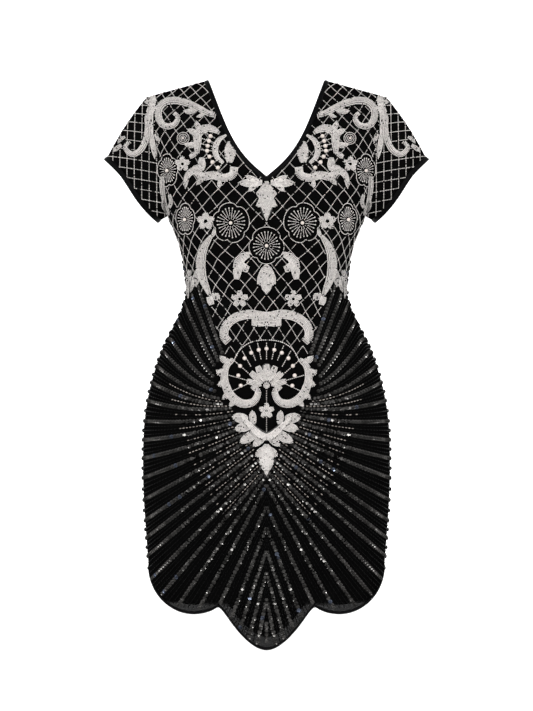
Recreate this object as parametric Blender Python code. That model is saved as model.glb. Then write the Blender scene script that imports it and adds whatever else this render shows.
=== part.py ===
"""Beaded cocktail dress with a V neck, short set-in sleeves and a scalloped hem.

It keeps the hollow form that it has on a wearer, who holds it up at the shoulders. Metres, +Z up. The
front faces -Y and +X is the wearer's left. The origin lies midway between the neck ends of the two
shoulder seams. Every piece of cloth is a wall under one outer skin, which is worked out from the
sections and edges below, and the raised beadwork lies on the front's skin.
"""

import math
from collections import namedtuple

import bmesh
import bpy
import numpy as np
from mathutils import Vector
from mathutils.bvhtree import BVHTree

# Neck and shoulders. A finished edge is the fold of its binding.
NECK_HALF = 0.0975
NECK_DEPTH = {"front": 0.168, "back": 0.200}
NECK_BINDING = 0.0078
NECK_STRAIGHTNESS = 0.62
NECK_FLARE_POWER = 4.9
NECK_POINT_STRETCH = 1.35
SHOULDER_HALF = 0.203
SHOULDER_DROP = 0.029
UNDERARM_Z = -0.230
ARMHOLE_HALF_DEPTH = {"front": 0.052, "back": 0.056}

# Cloth and its joins.
NET = 0.0015
LINING = 0.0010
SEAM_GAP = 0.0003
LINING_GAP = 0.0005

# A binding's section: the share of the way from its seam to its fold, and half its thickness there.
Section = namedtuple("Section", "share half")
BINDING_SECTION = (Section(0.0, 0.0011), Section(0.55, 0.0015), Section(0.88, 0.0010))

# Hem, by the share of the way round from the centre to the side seam.
HEM_CENTRE_Z = -0.949
HEM_NOTCH_Z = -0.873
HEM_NOTCH_SHARE = 0.306
HEM_SIDE_Z = -0.817
TONGUE_POWER = 1.7
PETAL_SAG = 0.037
PETAL_LEAN = 0.85
PETAL_FULLNESS = 0.9
HEM_BINDING = 0.0045
LINING_HEM_Z = -0.870
LINING_TOP_Z = -0.402
LINING_INSIDE_HEM = 0.011

# Sleeve: the cuff's lowest and highest points in the front view, and half its width from front to back.
CUFF_LOW = Vector((0.183, 0.0, -0.2405))
CUFF_HIGH = Vector((0.274, 0.0, -0.1335))
CUFF_HALF_DEPTH = 0.054
CUFF_BINDING = 0.0085
CUFF_WAVE = 0.0035
SLEEVE_PUFF = 0.007
SLEEVE_CAP = 0.0025
SLEEVE_RINGS = 5

# The body's section, and the soft fullness over each side of the bust.
ROUNDNESS = 2.2
SHOULDER_ROLL = 5
BUST_HALF_SPACING = 0.078
BUST_Z = -0.246
BUST_FULLNESS = 0.011
BUST_SPREAD = 0.055

SIDE_SIGN = {"front": -1.0, "back": 1.0}

# Levels below the armholes: half the width, and how far the front and back stand from the side seams.
Level = namedtuple("Level", "z half_width front back")
LEVELS = (
    Level(-0.230, 0.167, 0.112, 0.095),
    Level(-0.262, 0.152, 0.111, 0.092),
    Level(-0.306, 0.139, 0.101, 0.085),
    Level(-0.350, 0.1335, 0.092, 0.080),
    Level(-0.387, 0.142, 0.094, 0.085),
    Level(-0.417, 0.1575, 0.098, 0.093),
    Level(-0.447, 0.173, 0.104, 0.102),
    Level(-0.487, 0.188, 0.110, 0.112),
    Level(-0.538, 0.201, 0.115, 0.120),
    Level(-0.588, 0.207, 0.118, 0.124),
    Level(-0.672, 0.208, 0.120, 0.122),
    Level(-0.740, 0.204, 0.120, 0.119),
    Level(-0.840, 0.197, 0.119, 0.116),
    Level(-0.960, 0.193, 0.118, 0.114),
)

# Above them, by the share of the rise from the armhole's bottom to the shoulder seam.
Rise = namedtuple("Rise", "share arm_half front back")
RISES = (
    Rise(0.00, 0.167, 0.112, 0.095),
    Rise(0.22, 0.171, 0.109, 0.096),
    Rise(0.40, 0.178, 0.102, 0.095),
    Rise(0.57, 0.183, 0.093, 0.090),
    Rise(0.74, 0.187, 0.081, 0.081),
    Rise(0.90, 0.194, 0.069, 0.069),
    Rise(1.00, 0.203, 0.061, 0.061),
)

# Where the skin's rows and columns run.
SKIRT_ROWS = (-0.800, -0.745, -0.690, -0.635, -0.585, -0.540, -0.500, -0.465, -0.432, -0.402,
              -0.376, -0.348, -0.315, -0.280, -0.254)
ROWS_IN_HEM = 3
ROWS_BELOW_NECK_POINT = 4
ROWS_BESIDE_NECK = 10
YOKE_EVEN_RISE = 0.4
SECTION_SAMPLES = 121
NECK_SAMPLES = 201
TONGUE_COLUMNS = (0.0, 0.25, 0.5, 0.75)
PETAL_COLUMNS = (0.0, 0.04, 0.12, 0.24, 0.36, 0.48, 0.60, 0.72, 0.84, 0.93, 1.0)

# Raised beadwork: padded bands on the front, each through a few places of its middle line. The places
# are (x, z) in millimetres at the side seams' distance, as a viewer sees them who stands in front.
VIEWER = Vector((0.0, -5.0, -0.463))
BAND_STEP = 0.0082
BAND_SAMPLES = 12
BAND_GAP = 0.0008
BAND_HEIGHT = 0.0028
BAND_SHOULDER = 0.62
BAND_SHOULDER_RISE = 0.75
BAND_FULLNESS = 0.7
Band = namedtuple("Band", "name on width ends paired places")
BANDS = (
    Band("shoulder_scroll", "front_panel", 11, (0.7, 0.5), True,
         ((86, -60), (98, -57), (115, -48), (134, -40), (152, -36), (168, -38), (179, -47), (181, -60),
          (176, -73), (165, -79), (153, -75), (148, -64), (155, -56))),
    Band("sleeve_scroll", "sleeve_left", 9, (0.4, 0.5), True,
         ((202, -62), (200, -78), (201, -94), (206, -110), (215, -122), (227, -125), (236, -114),
          (229, -105))),
    Band("bust_shell", "front_panel", 13, (0.4, 0.5), True,
         ((80, -89), (91, -83), (105, -83), (115, -92), (115, -107), (116, -122))),
    Band("bust_scroll", "front_panel", 11, (0.6, 0.4), True,
         ((54, -147), (57, -160), (72, -165), (90, -160), (107, -163), (118, -153), (130, -158),
          (136, -178))),
    Band("waist_crescent", "front_panel", 11, (0.3, 0.3), True,
         ((90, -260), (103, -280), (109, -305), (106, -332), (94, -362))),
    Band("arch_band", "front_panel", 14, (0.6, 0.6), False,
         ((-64, -440), (-71, -430), (-67, -413), (-50, -399), (-26, -394), (0, -398),
          (26, -394), (50, -399), (67, -413), (71, -430), (64, -440))),
    Band("fan_scroll", "front_panel", 13, (0.5, 0.5), True,
         ((56, -470), (68, -484), (70, -506), (60, -530), (40, -544), (21, -540), (14, -524), (24, -515))),
    Band("leaf_spray", "front_panel", 20, (0.2, 0.2), False,
         ((-42, -562), (-28, -580), (0, -600), (28, -580), (42, -562))),
    Band("neck_leaf", "front_panel", 30, (0.1, 0.1), False, ((0, -177), (0, -198), (0, -235))),
    Band("waist_leaf", "front_panel", 30, (0.1, 0.1), False, ((0, -313), (0, -335), (0, -361))),
    Band("fan_leaf", "front_panel", 38, (0.2, 0.2), False, ((0, -476), (0, -494), (0, -512))),
    Band("drop_leaf", "front_panel", 30, (0.3, 0.1), False, ((0, -615), (0, -630), (0, -656))),
)

Finish = namedtuple("Finish", "colour roughness metallic")
FINISHES = {
    "net": Finish((0.012, 0.012, 0.013), 0.55, 0.0),
    "lining": Finish((0.010, 0.010, 0.011), 0.45, 0.0),
    "satin": Finish((0.008, 0.008, 0.009), 0.35, 0.0),
    "beadwork": Finish((0.70, 0.67, 0.65), 0.35, 0.0),
}


def clear_scene():
    for obj in list(bpy.data.objects):
        bpy.data.objects.remove(obj)


def material(name):
    """The named finish as a material, made once."""
    found = bpy.data.materials.get(name)
    if found:
        return found
    made = bpy.data.materials.new(name)
    made.use_nodes = True
    shader = made.node_tree.nodes["Principled BSDF"]
    finish = FINISHES[name]
    shader.inputs["Base Color"].default_value = (*finish.colour, 1.0)
    shader.inputs["Roughness"].default_value = finish.roughness
    shader.inputs["Metallic"].default_value = finish.metallic
    return made


def add_object(name, form, finish):
    """A bmesh becomes an object in the scene, shaded smooth but for its sharp rims."""
    mesh = bpy.data.meshes.new(name)
    form.to_mesh(mesh)
    form.free()
    mesh.shade_smooth()
    mesh.set_sharp_from_angle(angle=math.radians(40))
    mesh.materials.append(material(finish))
    obj = bpy.data.objects.new(name, mesh)
    bpy.context.scene.collection.objects.link(obj)
    return obj


def mirrored(point):
    return Vector((-point[0], point[1], point[2]))


def smooth_column(rows, column, at):
    """A table's column at a place between its rows, on a curve that never overshoots them."""
    where = np.array([row[0] for row in rows])
    values = np.array([getattr(row, column) for row in rows])
    if where[0] > where[-1]:
        where, values = where[::-1], values[::-1]
    slopes = np.diff(values) / np.diff(where)
    tangents = np.zeros(len(values))
    same_way = slopes[:-1] * slopes[1:] > 0
    tangents[1:-1][same_way] = 2 / (1 / slopes[:-1][same_way] + 1 / slopes[1:][same_way])
    tangents[0], tangents[-1] = slopes[0], slopes[-1]
    at = min(max(at, where[0]), where[-1])
    i = min(int(np.searchsorted(where, at, side="right")) - 1, len(where) - 2)
    step = where[i + 1] - where[i]
    u = (at - where[i]) / step
    start = (1 + 2 * u) * (1 - u) ** 2 * values[i] + u * (1 - u) ** 2 * step * tangents[i]
    end = u * u * (3 - 2 * u) * values[i + 1] + u * u * (u - 1) * step * tangents[i + 1]
    return float(start + end)


def ease(value, end):
    """0 at 0, 1 from end on, and smooth between them."""
    u = min(max(value / end, 0.0), 1.0)
    return u * u * (3 - 2 * u)


def bust(x, z):
    """How far the front stands out over the bust: one soft rise on each side of the centre."""
    across = (abs(x) - BUST_HALF_SPACING) / BUST_SPREAD
    along = (z - BUST_Z) / BUST_SPREAD
    return BUST_FULLNESS * math.exp(-(across**2) - along**2)


def skin_point(side, x, z, half_width, depth, roll=1.0):
    """The point of the outer skin at x on a rounded section of the front or back."""
    shape = (1 - min(x / half_width, 1.0) ** ROUNDNESS) ** (1 / ROUNDNESS)
    if side == "front":
        depth += bust(x, z)
    return Vector((x, SIDE_SIGN[side] * (depth * shape * roll + SEAM_GAP / 2), z))


def body_point(side, share, z):
    """A point of the skin below the armholes, share of the way round from the centre to the side seam."""
    half_width = smooth_column(LEVELS, "half_width", z)
    depth = smooth_column(LEVELS, side, z)
    angle = np.linspace(0, math.pi / 2, SECTION_SAMPLES)
    x = half_width * np.sin(angle) ** (2 / ROUNDNESS)
    y = depth * np.cos(angle) ** (2 / ROUNDNESS)
    run = np.concatenate([[0.0], np.cumsum(np.hypot(np.diff(x), np.diff(y)))])
    return skin_point(side, float(np.interp(share * run[-1], run, x)), z, half_width, depth)


def shoulder_z(x):
    """The height of the shoulder seam's line at a distance from the centre."""
    return -SHOULDER_DROP * (x - NECK_HALF) / (SHOULDER_HALF - NECK_HALF)


def rise_at(x, z):
    """The share of the rise from the armhole's bottom to the shoulder line."""
    return (z - UNDERARM_Z) / (shoulder_z(x) - UNDERARM_Z)


def yoke_point(side, x, rise):
    """A point of the skin above the armhole's bottom.

    The skin rolls over to the shoulder seam, and the armhole's edge runs round an oval loop: with the
    roll, its depth is in step with the square root of rise * (1 - rise).
    """
    z = UNDERARM_Z + rise * (shoulder_z(x) - UNDERARM_Z)
    depth = smooth_column(RISES, side, rise)
    roll = math.sqrt(max(1 - rise**SHOULDER_ROLL, 0.0))
    loop = 2 * math.sqrt(rise / sum(rise**power for power in range(SHOULDER_ROLL)))
    edge = (ARMHOLE_HALF_DEPTH[side] * loop / depth) ** ROUNDNESS
    half_width = smooth_column(RISES, "arm_half", rise) / (1 - edge) ** (1 / ROUNDNESS)
    return skin_point(side, x, z, half_width, depth, roll)


def neck_edge(side, down, inset):
    """(x, z) on the neck's edge, from the shoulder seam at 0 to its point at 1, inset into the cloth."""
    half = NECK_HALF + inset
    top = shoulder_z(half)
    bottom = -NECK_DEPTH[side] - NECK_POINT_STRETCH * inset
    x = half * (1 - NECK_STRAIGHTNESS * down - (1 - NECK_STRAIGHTNESS) * down**NECK_FLARE_POWER)
    return x, top + (bottom - top) * down


def neck_down(side, rise):
    """How far down the neck's edge, where the binding is sewn on, a rise is met."""
    downs = np.linspace(1, 0, NECK_SAMPLES)
    rises = [rise_at(*neck_edge(side, down, NECK_BINDING)) for down in downs]
    return float(np.interp(rise, rises, downs))


def hem_z(share):
    """The finished hem: a pointed tongue in the middle, then a petal that rises to the side seam."""
    if share <= HEM_NOTCH_SHARE:
        out = share / HEM_NOTCH_SHARE
        return HEM_NOTCH_Z + (HEM_CENTRE_Z - HEM_NOTCH_Z) * (1 - out**TONGUE_POWER)
    along = (share - HEM_NOTCH_SHARE) / (1 - HEM_NOTCH_SHARE)
    sag = max(math.sin(math.pi * along**PETAL_LEAN), 0.0) ** PETAL_FULLNESS
    return HEM_NOTCH_Z + (HEM_SIDE_Z - HEM_NOTCH_Z) * along - PETAL_SAG * sag


def column_shares():
    """The skin's columns as shares of the way round from the centre to the side seam."""
    tongue = [HEM_NOTCH_SHARE * out for out in TONGUE_COLUMNS]
    return tongue + [HEM_NOTCH_SHARE + (1 - HEM_NOTCH_SHARE) * out for out in PETAL_COLUMNS]


def yoke_rises(side):
    """The rows above the armhole's bottom, even round the armhole's loop, one at the neck's point."""
    neck_angle = math.acos(1 - 2 * rise_at(*neck_edge(side, 1.0, NECK_BINDING)))
    below = np.linspace(0, neck_angle, ROWS_BELOW_NECK_POINT + 1)
    beside = np.linspace(neck_angle, math.pi, ROWS_BESIDE_NECK + 1)[1:]
    return [(1 - math.cos(angle)) / 2 for angle in [*below, *beside]]


def hem_rows(side, edges):
    """Rows of points from an edge near the hem, given by its height at each column, up to the skirt."""
    rows = []
    for step in range(ROWS_IN_HEM):
        up = step / ROWS_IN_HEM
        rows.append([body_point(side, share, edge + (SKIRT_ROWS[0] - edge) * up)
                     for share, edge in zip(column_shares(), edges)])
    return rows


def panel_rows(side):
    """The outer skin's rows of points at +X, from the hem's binding up to the shoulder seam."""
    shares = column_shares()
    rows = hem_rows(side, [hem_z(share) + HEM_BINDING for share in shares])
    rows += [[body_point(side, share, z) for share in shares] for z in SKIRT_ROWS]
    spread = [body_point(side, share, UNDERARM_Z).x / RISES[0].arm_half for share in shares]
    for number, rise in enumerate(yoke_rises(side)):
        beside_neck = number > ROWS_BELOW_NECK_POINT
        inner = neck_edge(side, neck_down(side, rise), NECK_BINDING)[0] if beside_neck else 0.0
        outer = smooth_column(RISES, "arm_half", rise)
        even = ease(rise, YOKE_EVEN_RISE)
        rows.append([yoke_point(side, inner + (outer - inner) * (near + (share - near) * even), rise)
                     for share, near in zip(shares, spread)])
    return rows


def lining_rows(side):
    """The skirt lining lies under the same columns, with a straight hem inside the cloth's."""
    shares = column_shares()
    rows = hem_rows(side, [max(LINING_HEM_Z, hem_z(share) + LINING_INSIDE_HEM) for share in shares])
    heights = [z for z in SKIRT_ROWS if z <= LINING_TOP_Z]
    return rows + [[body_point(side, share, z) for share in shares] for z in heights]


class Skin:
    """A sheet of shared points and the faces between them, which a wall is made from."""

    def __init__(self):
        self.points = []
        self.faces = []
        self.index = {}
        self.pinned = {}

    def add(self, point):
        """The point's number. Points in one place are one."""
        key = tuple(round(value * 1e6) for value in point)
        if key not in self.index:
            self.index[key] = len(self.points)
            self.points.append(Vector(point))
        return self.index[key]

    def add_face(self, corners):
        self.faces.append([self.add(corner) for corner in corners])

    def normals(self):
        """Each point's normal, averaged over its faces, or the one that it is pinned to."""
        sums = [Vector((0, 0, 0)) for _ in self.points]
        for face in self.faces:
            a, b, c, d = (self.points[n] for n in face)
            normal = (c - a).cross(d - b)
            for n in face:
                sums[n] += normal
        return [self.pinned.get(n, total).normalized() for n, total in enumerate(sums)]

    def normal_at(self, point):
        return self.normals()[self.add(point)]

    def pin(self, point, normal):
        self.pinned[self.add(point)] = Vector(normal)

    def wall(self, name, depth_out, depth_in, finish):
        """A closed wall between two depths under the skin."""
        normals = self.normals()
        form = bmesh.new()
        outer, inner = ([form.verts.new(p - n * depth) for p, n in zip(self.points, normals)]
                        for depth in (depth_out, depth_in))
        edges = set()
        for face in self.faces:
            form.faces.new([outer[n] for n in face])
            form.faces.new([inner[n] for n in reversed(face)])
            edges.update(zip(face, face[1:] + face[:1]))
        for a, b in sorted(edges):
            if (b, a) not in edges:
                form.faces.new([outer[b], outer[a], inner[a], inner[b]])
        return add_object(name, form, finish)


def whole_skin(side, rows):
    """The whole front or back, from its half at +X. The halves share the centre's points."""
    skin = Skin()
    for low, high in zip(rows, rows[1:]):
        for i in range(len(low) - 1):
            corners = [low[i], low[i + 1], high[i + 1], high[i]]
            if side == "back":
                corners.reverse()
            skin.add_face(corners)
            skin.add_face([mirrored(corner) for corner in reversed(corners)])
    return skin


def pin_square(skin, points):
    """Cloth ends square to the plane of the side and shoulder seams."""
    for point in points:
        normal = skin.normal_at(point).copy()
        normal.y = 0
        skin.pin(point, normal)
        skin.pin(mirrored(point), mirrored(normal))


def cuff_point(angle, side, inset):
    """A point of the cuff's loop: angle 0 is its lowest point and pi its highest."""
    centre = (CUFF_LOW + CUFF_HIGH) / 2
    up = (CUFF_HIGH - CUFF_LOW) / 2
    along_arm = Vector((up.z, 0, -up.x)).normalized()
    from_top = (1 + math.cos(angle)) / 2
    wave = CUFF_WAVE * math.sin(2 * math.pi * from_top)
    point = centre - up * math.cos(angle) - along_arm * (wave + inset)
    point.y = SIDE_SIGN[side] * CUFF_HALF_DEPTH * math.sin(angle)
    return point


def armhole_loop(panels):
    """[(side, angle, point), ...] round the armhole at +X: up the front and down the back."""
    loop = []
    for side in ("front", "back"):
        rises = yoke_rises(side)
        edge = [row[-1] for row in panels[side][-len(rises):]]
        part = [(side, math.acos(1 - 2 * rise), point) for rise, point in zip(rises, edge)]
        loop += part[:-1] if side == "front" else part[:0:-1]
    return loop


def sleeve_rings(loop):
    """The sleeve's outer skin at +X as rings of points, from the armhole to the cuff's binding."""
    rings = [[] for _ in range(SLEEVE_RINGS + 1)]
    for side, angle, sewn_to in loop:
        start = sewn_to.copy()
        if angle in (0.0, math.pi):
            start.y = 0.0
        end = cuff_point(angle, side, CUFF_BINDING)
        start += (end - start).normalized() * SEAM_GAP
        for i, ring in enumerate(rings):
            share = i / SLEEVE_RINGS
            swell = math.sin(math.pi * share)
            point = start.lerp(end, share)
            point.y += SIDE_SIGN[side] * SLEEVE_PUFF * swell * math.sin(angle)
            cap = SLEEVE_CAP * swell * (1 - math.cos(angle)) / 2
            ring.append(point + Vector((cap, 0, cap)))
    return rings


def tube_skin(rings):
    """A skin over rings that close on themselves."""
    skin = Skin()
    for near, far in zip(rings, rings[1:]):
        for i in range(len(near)):
            skin.add_face([near[i], near[i - 1], far[i - 1], far[i]])
    return skin


def match_armhole(skins, sleeve_skin, loop, armhole_ring):
    """The cloth on each side of the armhole's seam ends along the same normals."""
    for (side, angle, sewn_to), start in zip(loop, armhole_ring):
        normal = skins[side].normal_at(sewn_to) + sleeve_skin.normal_at(start)
        sewn = {side: sewn_to}
        if angle in (0.0, math.pi):
            normal.y = 0
            sewn = {"front": sewn_to.copy(), "back": sewn_to.copy()}
            sewn["front"].y, sewn["back"].y = -SEAM_GAP / 2, SEAM_GAP / 2
        sleeve_skin.pin(start, normal)
        for panel_side, point in sewn.items():
            skins[panel_side].pin(point, normal)
            skins[panel_side].pin(mirrored(point), mirrored(normal))


def edge_binding(name, sewn, folds, normals, closed=False):
    """A folded binding from the edge that it is sewn to, out to its own fold."""
    form = bmesh.new()
    rings = []
    for start, fold, normal in zip(sewn, folds, normals):
        across = (fold - start).normalized()
        near = start + across * SEAM_GAP - normal * NET / 2
        tip = fold - normal * NET / 2
        section = [(near.lerp(tip, part.share), normal * part.half) for part in BINDING_SECTION]
        outside = [at + out for at, out in section]
        inside = [at - out for at, out in reversed(section)]
        rings.append([form.verts.new(point) for point in (*outside, tip, *inside)])
    followers = rings[1:] + rings[:1] if closed else rings[1:]
    for near_ring, far_ring in zip(rings, followers):
        for i in range(len(near_ring)):
            form.faces.new([near_ring[i - 1], near_ring[i], far_ring[i], far_ring[i - 1]])
    if not closed:
        form.faces.new(rings[0])
        form.faces.new(reversed(rings[-1]))
    bmesh.ops.recalc_face_normals(form, faces=form.faces)
    return add_object(name, form, "satin")


def both_halves(points):
    """A line from the mirror image of its last point through its first, in the middle, to its last."""
    return [mirrored(point) for point in points[:0:-1]] + list(points)


def neck_binding(side, skin, rows):
    """The binding of the front or back neck, from one shoulder seam round its point to the other."""
    rises = yoke_rises(side)[ROWS_BELOW_NECK_POINT:]
    sewn = [row[0] for row in rows[-len(rises):]]
    folds = []
    for rise in rises:
        x, z = neck_edge(side, neck_down(side, rise), 0.0)
        folds.append(yoke_point(side, x, min(rise_at(x, z), 1.0)))
    normals = [skin.normal_at(point) for point in sewn]
    edge_binding(f"neck_binding_{side}", both_halves(sewn), both_halves(folds), both_halves(normals))


def hem_binding(side, skin, rows):
    """The rolled edge of the tongue and petals, from one side seam to the other."""
    folds = [body_point(side, share, hem_z(share)) for share in column_shares()]
    normals = [skin.normal_at(point) for point in rows[0]]
    edge_binding(f"hem_binding_{side}", both_halves(rows[0]), both_halves(folds), both_halves(normals))


def mirror_copy(obj, name):
    """The same piece for the other side, with its faces still pointing out."""
    form = bmesh.new()
    form.from_mesh(obj.data)
    for vert in form.verts:
        vert.co.x = -vert.co.x
    bmesh.ops.reverse_faces(form, faces=form.faces)
    return add_object(name, form, obj.data.materials[0].name)


def smooth_line(places, step):
    """Points along a smooth curve through a band's places, about one step apart."""
    knots = [places[0] * 2 - places[1], *places, places[-1] * 2 - places[-2]]
    fine = []
    for before, start, end, after in zip(knots, knots[1:], knots[2:], knots[3:]):
        for u in np.linspace(0, 1, BAND_SAMPLES, endpoint=False):
            bend = (2 * before - 5 * start + 4 * end - after) * u**2
            turn = (3 * start - before - 3 * end + after) * u**3
            fine.append((2 * start + (end - before) * u + bend + turn) / 2)
    fine.append(places[-1])
    run = np.concatenate([[0.0], np.cumsum([(b - a).length for a, b in zip(fine, fine[1:])])])
    at = np.linspace(0, run[-1], max(round(run[-1] / step), 4) + 1)
    return [Vector((np.interp(s, run, [p.x for p in fine]), np.interp(s, run, [p.y for p in fine])))
            for s in at]


def seen_place(tree, place):
    """Where the viewer sees a place on the cloth, and which way the cloth faces there."""
    spot, normal, _, _ = tree.ray_cast(VIEWER, Vector((place.x, 0.0, place.y)) - VIEWER)
    if spot is None:
        raise ValueError(f"no cloth at {place.x:.3f}, {place.y:.3f}")
    return spot, normal


def raised_band(name, band, tree):
    """A padded band on the cloth: flat below, crowned above, and narrower towards its ends."""
    line = smooth_line([Vector(place) / 1000 for place in band.places], BAND_STEP)
    crown = BAND_GAP + BAND_HEIGHT
    shoulder = BAND_GAP + BAND_HEIGHT * BAND_SHOULDER_RISE
    form = bmesh.new()
    rings = []
    for i, middle in enumerate(line):
        along = (line[min(i + 1, len(line) - 1)] - line[max(i - 1, 0)]).normalized()
        share = i / (len(line) - 1)
        end = band.ends[0] if share < 0.5 else band.ends[1]
        half = band.width / 2000 * (end + (1 - end) * math.sin(math.pi * share) ** BAND_FULLNESS)
        sideways = Vector((-along.y, along.x)) * half
        ring = []
        for out, height in ((-1, BAND_GAP), (0, BAND_GAP), (1, BAND_GAP),
                            (BAND_SHOULDER, shoulder), (0, crown), (-BAND_SHOULDER, shoulder)):
            spot, normal = seen_place(tree, middle + sideways * out)
            ring.append(form.verts.new(spot + normal * height))
        rings.append(ring)
    for near_ring, far_ring in zip(rings, rings[1:]):
        for i in range(len(near_ring)):
            form.faces.new([near_ring[i - 1], near_ring[i], far_ring[i], far_ring[i - 1]])
    form.faces.new(rings[0])
    form.faces.new(reversed(rings[-1]))
    bmesh.ops.recalc_face_normals(form, faces=form.faces)
    return add_object(name, form, "beadwork")


def add_bands():
    """Every raised band, on the front panel or on a sleeve, with its mirror image if it has one."""
    trees = {}
    for cloth in {band.on for band in BANDS}:
        mesh = bpy.data.objects[cloth].data
        faces = [tuple(face.vertices) for face in mesh.polygons]
        trees[cloth] = BVHTree.FromPolygons([vert.co for vert in mesh.vertices], faces)
    for band in BANDS:
        if band.paired:
            left = raised_band(f"{band.name}_left", band, trees[band.on])
            mirror_copy(left, f"{band.name}_right")
        else:
            raised_band(band.name, band, trees[band.on])


def build():
    clear_scene()
    rows = {side: panel_rows(side) for side in SIDE_SIGN}
    skins = {side: whole_skin(side, rows[side]) for side in SIDE_SIGN}
    loop = armhole_loop(rows)
    rings = sleeve_rings(loop)
    sleeve_skin = tube_skin(rings)
    for side, skin in skins.items():
        pin_square(skin, [row[-1] for row in rows[side]] + rows[side][-1])
    match_armhole(skins, sleeve_skin, loop, rings[0])
    for side, skin in skins.items():
        skin.wall(f"{side}_panel", 0.0, NET, "net")
        neck_binding(side, skin, rows[side])
        hem_binding(side, skin, rows[side])
        under = lining_rows(side)
        lining_skin = whole_skin(side, under)
        pin_square(lining_skin, [row[-1] for row in under])
        lining_skin.wall(f"{side}_lining", NET + LINING_GAP, NET + LINING_GAP + LINING, "lining")
    sleeve = sleeve_skin.wall("sleeve_left", 0.0, NET, "net")
    mirror_copy(sleeve, "sleeve_right")
    folds = [cuff_point(angle, side, 0.0) for side, angle, _ in loop]
    normals = [sleeve_skin.normal_at(point) for point in rings[-1]]
    cuff = edge_binding("cuff_binding_left", rings[-1], folds, normals, closed=True)
    mirror_copy(cuff, "cuff_binding_right")
    add_bands()


build()
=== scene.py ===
"""Beaded cocktail dress: its cloth, bindings, padded motifs, beads and sequins.

Metres, +Z up, the front faces -Y. Beadwork on the front is placed as a viewer in front sees it: (x, z) in
millimetres on the plane of the side seams, thrown from the viewer's eye onto the cloth.
"""

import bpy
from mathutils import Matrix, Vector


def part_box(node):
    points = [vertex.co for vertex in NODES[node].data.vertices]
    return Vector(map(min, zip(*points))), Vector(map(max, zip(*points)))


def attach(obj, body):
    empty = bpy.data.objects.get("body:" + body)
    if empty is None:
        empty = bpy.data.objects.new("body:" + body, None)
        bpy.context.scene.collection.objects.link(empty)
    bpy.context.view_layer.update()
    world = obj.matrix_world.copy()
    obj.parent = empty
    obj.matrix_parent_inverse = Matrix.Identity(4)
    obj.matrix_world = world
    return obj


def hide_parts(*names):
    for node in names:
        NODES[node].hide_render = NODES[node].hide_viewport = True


bl_info = {
    "name": "Beaded Cocktail Dress",
    "version": (1, 0, 0),
    "blender": (4, 5, 0),
    "location": "View3D > Sidebar > Dress",
    "description": "Finishes a beaded net dress with its trellis, raised scrolls and sequin sunburst",
    "category": "Object",
}

import math
from collections import namedtuple
from functools import cache

import bpy
import numpy as np
from mathutils import Vector
from mathutils.bvhtree import BVHTree

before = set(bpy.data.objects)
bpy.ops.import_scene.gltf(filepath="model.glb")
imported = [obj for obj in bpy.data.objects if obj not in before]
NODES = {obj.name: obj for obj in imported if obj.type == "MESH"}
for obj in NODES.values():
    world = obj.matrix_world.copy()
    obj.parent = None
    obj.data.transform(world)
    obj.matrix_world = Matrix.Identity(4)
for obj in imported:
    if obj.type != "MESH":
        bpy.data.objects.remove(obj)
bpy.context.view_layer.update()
BODY = "root"
MM = 0.001

# The viewer whose picture the front is laid out in.
VIEWER = Vector((0.0, -5.0, -0.463))
PICTURE_HEIGHT = 1.1952
PHOTO_LONG_SIDE = 36.0

# The body that the trellis is measured round: half widths at heights, its depth as a share of them, and
# the roundness of its sections.
HALF_WIDTHS = ((-0.540, 0.201), (-0.487, 0.188), (-0.417, 0.1575), (-0.350, 0.1335), (-0.230, 0.167),
               (-0.120, 0.188), (0.0, 0.230))
DEPTH_SHARE = 0.64
ROUNDNESS = 2.2
YOKE_FROM, YOKE_TO = -0.270, -0.170
# Where the yoke starts to lean back, and how much more cloth there is for each rise at the shoulders.
LEAN_FROM = -0.130
LEAN = 0.5
# A crossing on the centre line, and the height of a trellis diamond against its width, turned over.
TRELLIS_KNOT_Z = -0.246
TRELLIS_SQUAT = 0.941
# The diamonds' width at heights, as a share of the stated one: they are drawn in at the waist.
TRELLIS_DRAWN_IN = ((-0.42, 0.775), (-0.39, 0.803), (-0.34, 0.863), (-0.30, 0.933), (-0.25, 0.977),
                    (-0.19, 0.977), (-0.09, 0.89), (-0.02, 0.80))
# How far the strings wander, as sewn by hand, and how fast along and across them (radians per metre).
WANDER = 0.0008
WANDER_ALONG, WANDER_ACROSS = 95, 140


# Settings that a user would change


def length_setting(label, about, default):
    return bpy.props.FloatProperty(name=label, description=about, default=default, unit="LENGTH")


def colour_setting(label, about, default):
    return bpy.props.FloatVectorProperty(
        name=label, description=about, subtype="COLOR", size=4, default=(*default, 1))


class DressSizes(bpy.types.PropertyGroup):
    """Sizes of the cloth, beads and sequins."""

    cloth: length_setting("Net", "Thickness of the net", 0.0005)
    trellis_cell: length_setting("Trellis cell", "Width of a trellis diamond", 0.0271)
    sleeve_cell: length_setting("Sleeve cell", "Width of a sleeve cell", 0.0122)
    bugle_length: length_setting("Bugle", "Length of a trellis bead", 0.0021)
    bugle_radius: length_setting("Bugle radius", "Radius of a trellis bead", 0.00066)
    bugle_gap: length_setting("Bugle gap", "Between two trellis beads", 0.00055)
    fill_length: length_setting("Filling bead", "Length of a bead in the motifs", 0.0023)
    fill_radius: length_setting("Filling radius", "Radius of a bead in the motifs", 0.00095)
    pearl_radius: length_setting("Pearl", "Radius of a pearl", 0.0035)
    sequin_radius: length_setting("Sequin", "Radius of a cup sequin", 0.0036)
    sequin_pitch: length_setting("Sequin pitch", "From one sequin to the next", 0.0062)
    black_pitch: length_setting("Black bugle pitch", "From one black bugle to the next", 0.0070)


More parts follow.
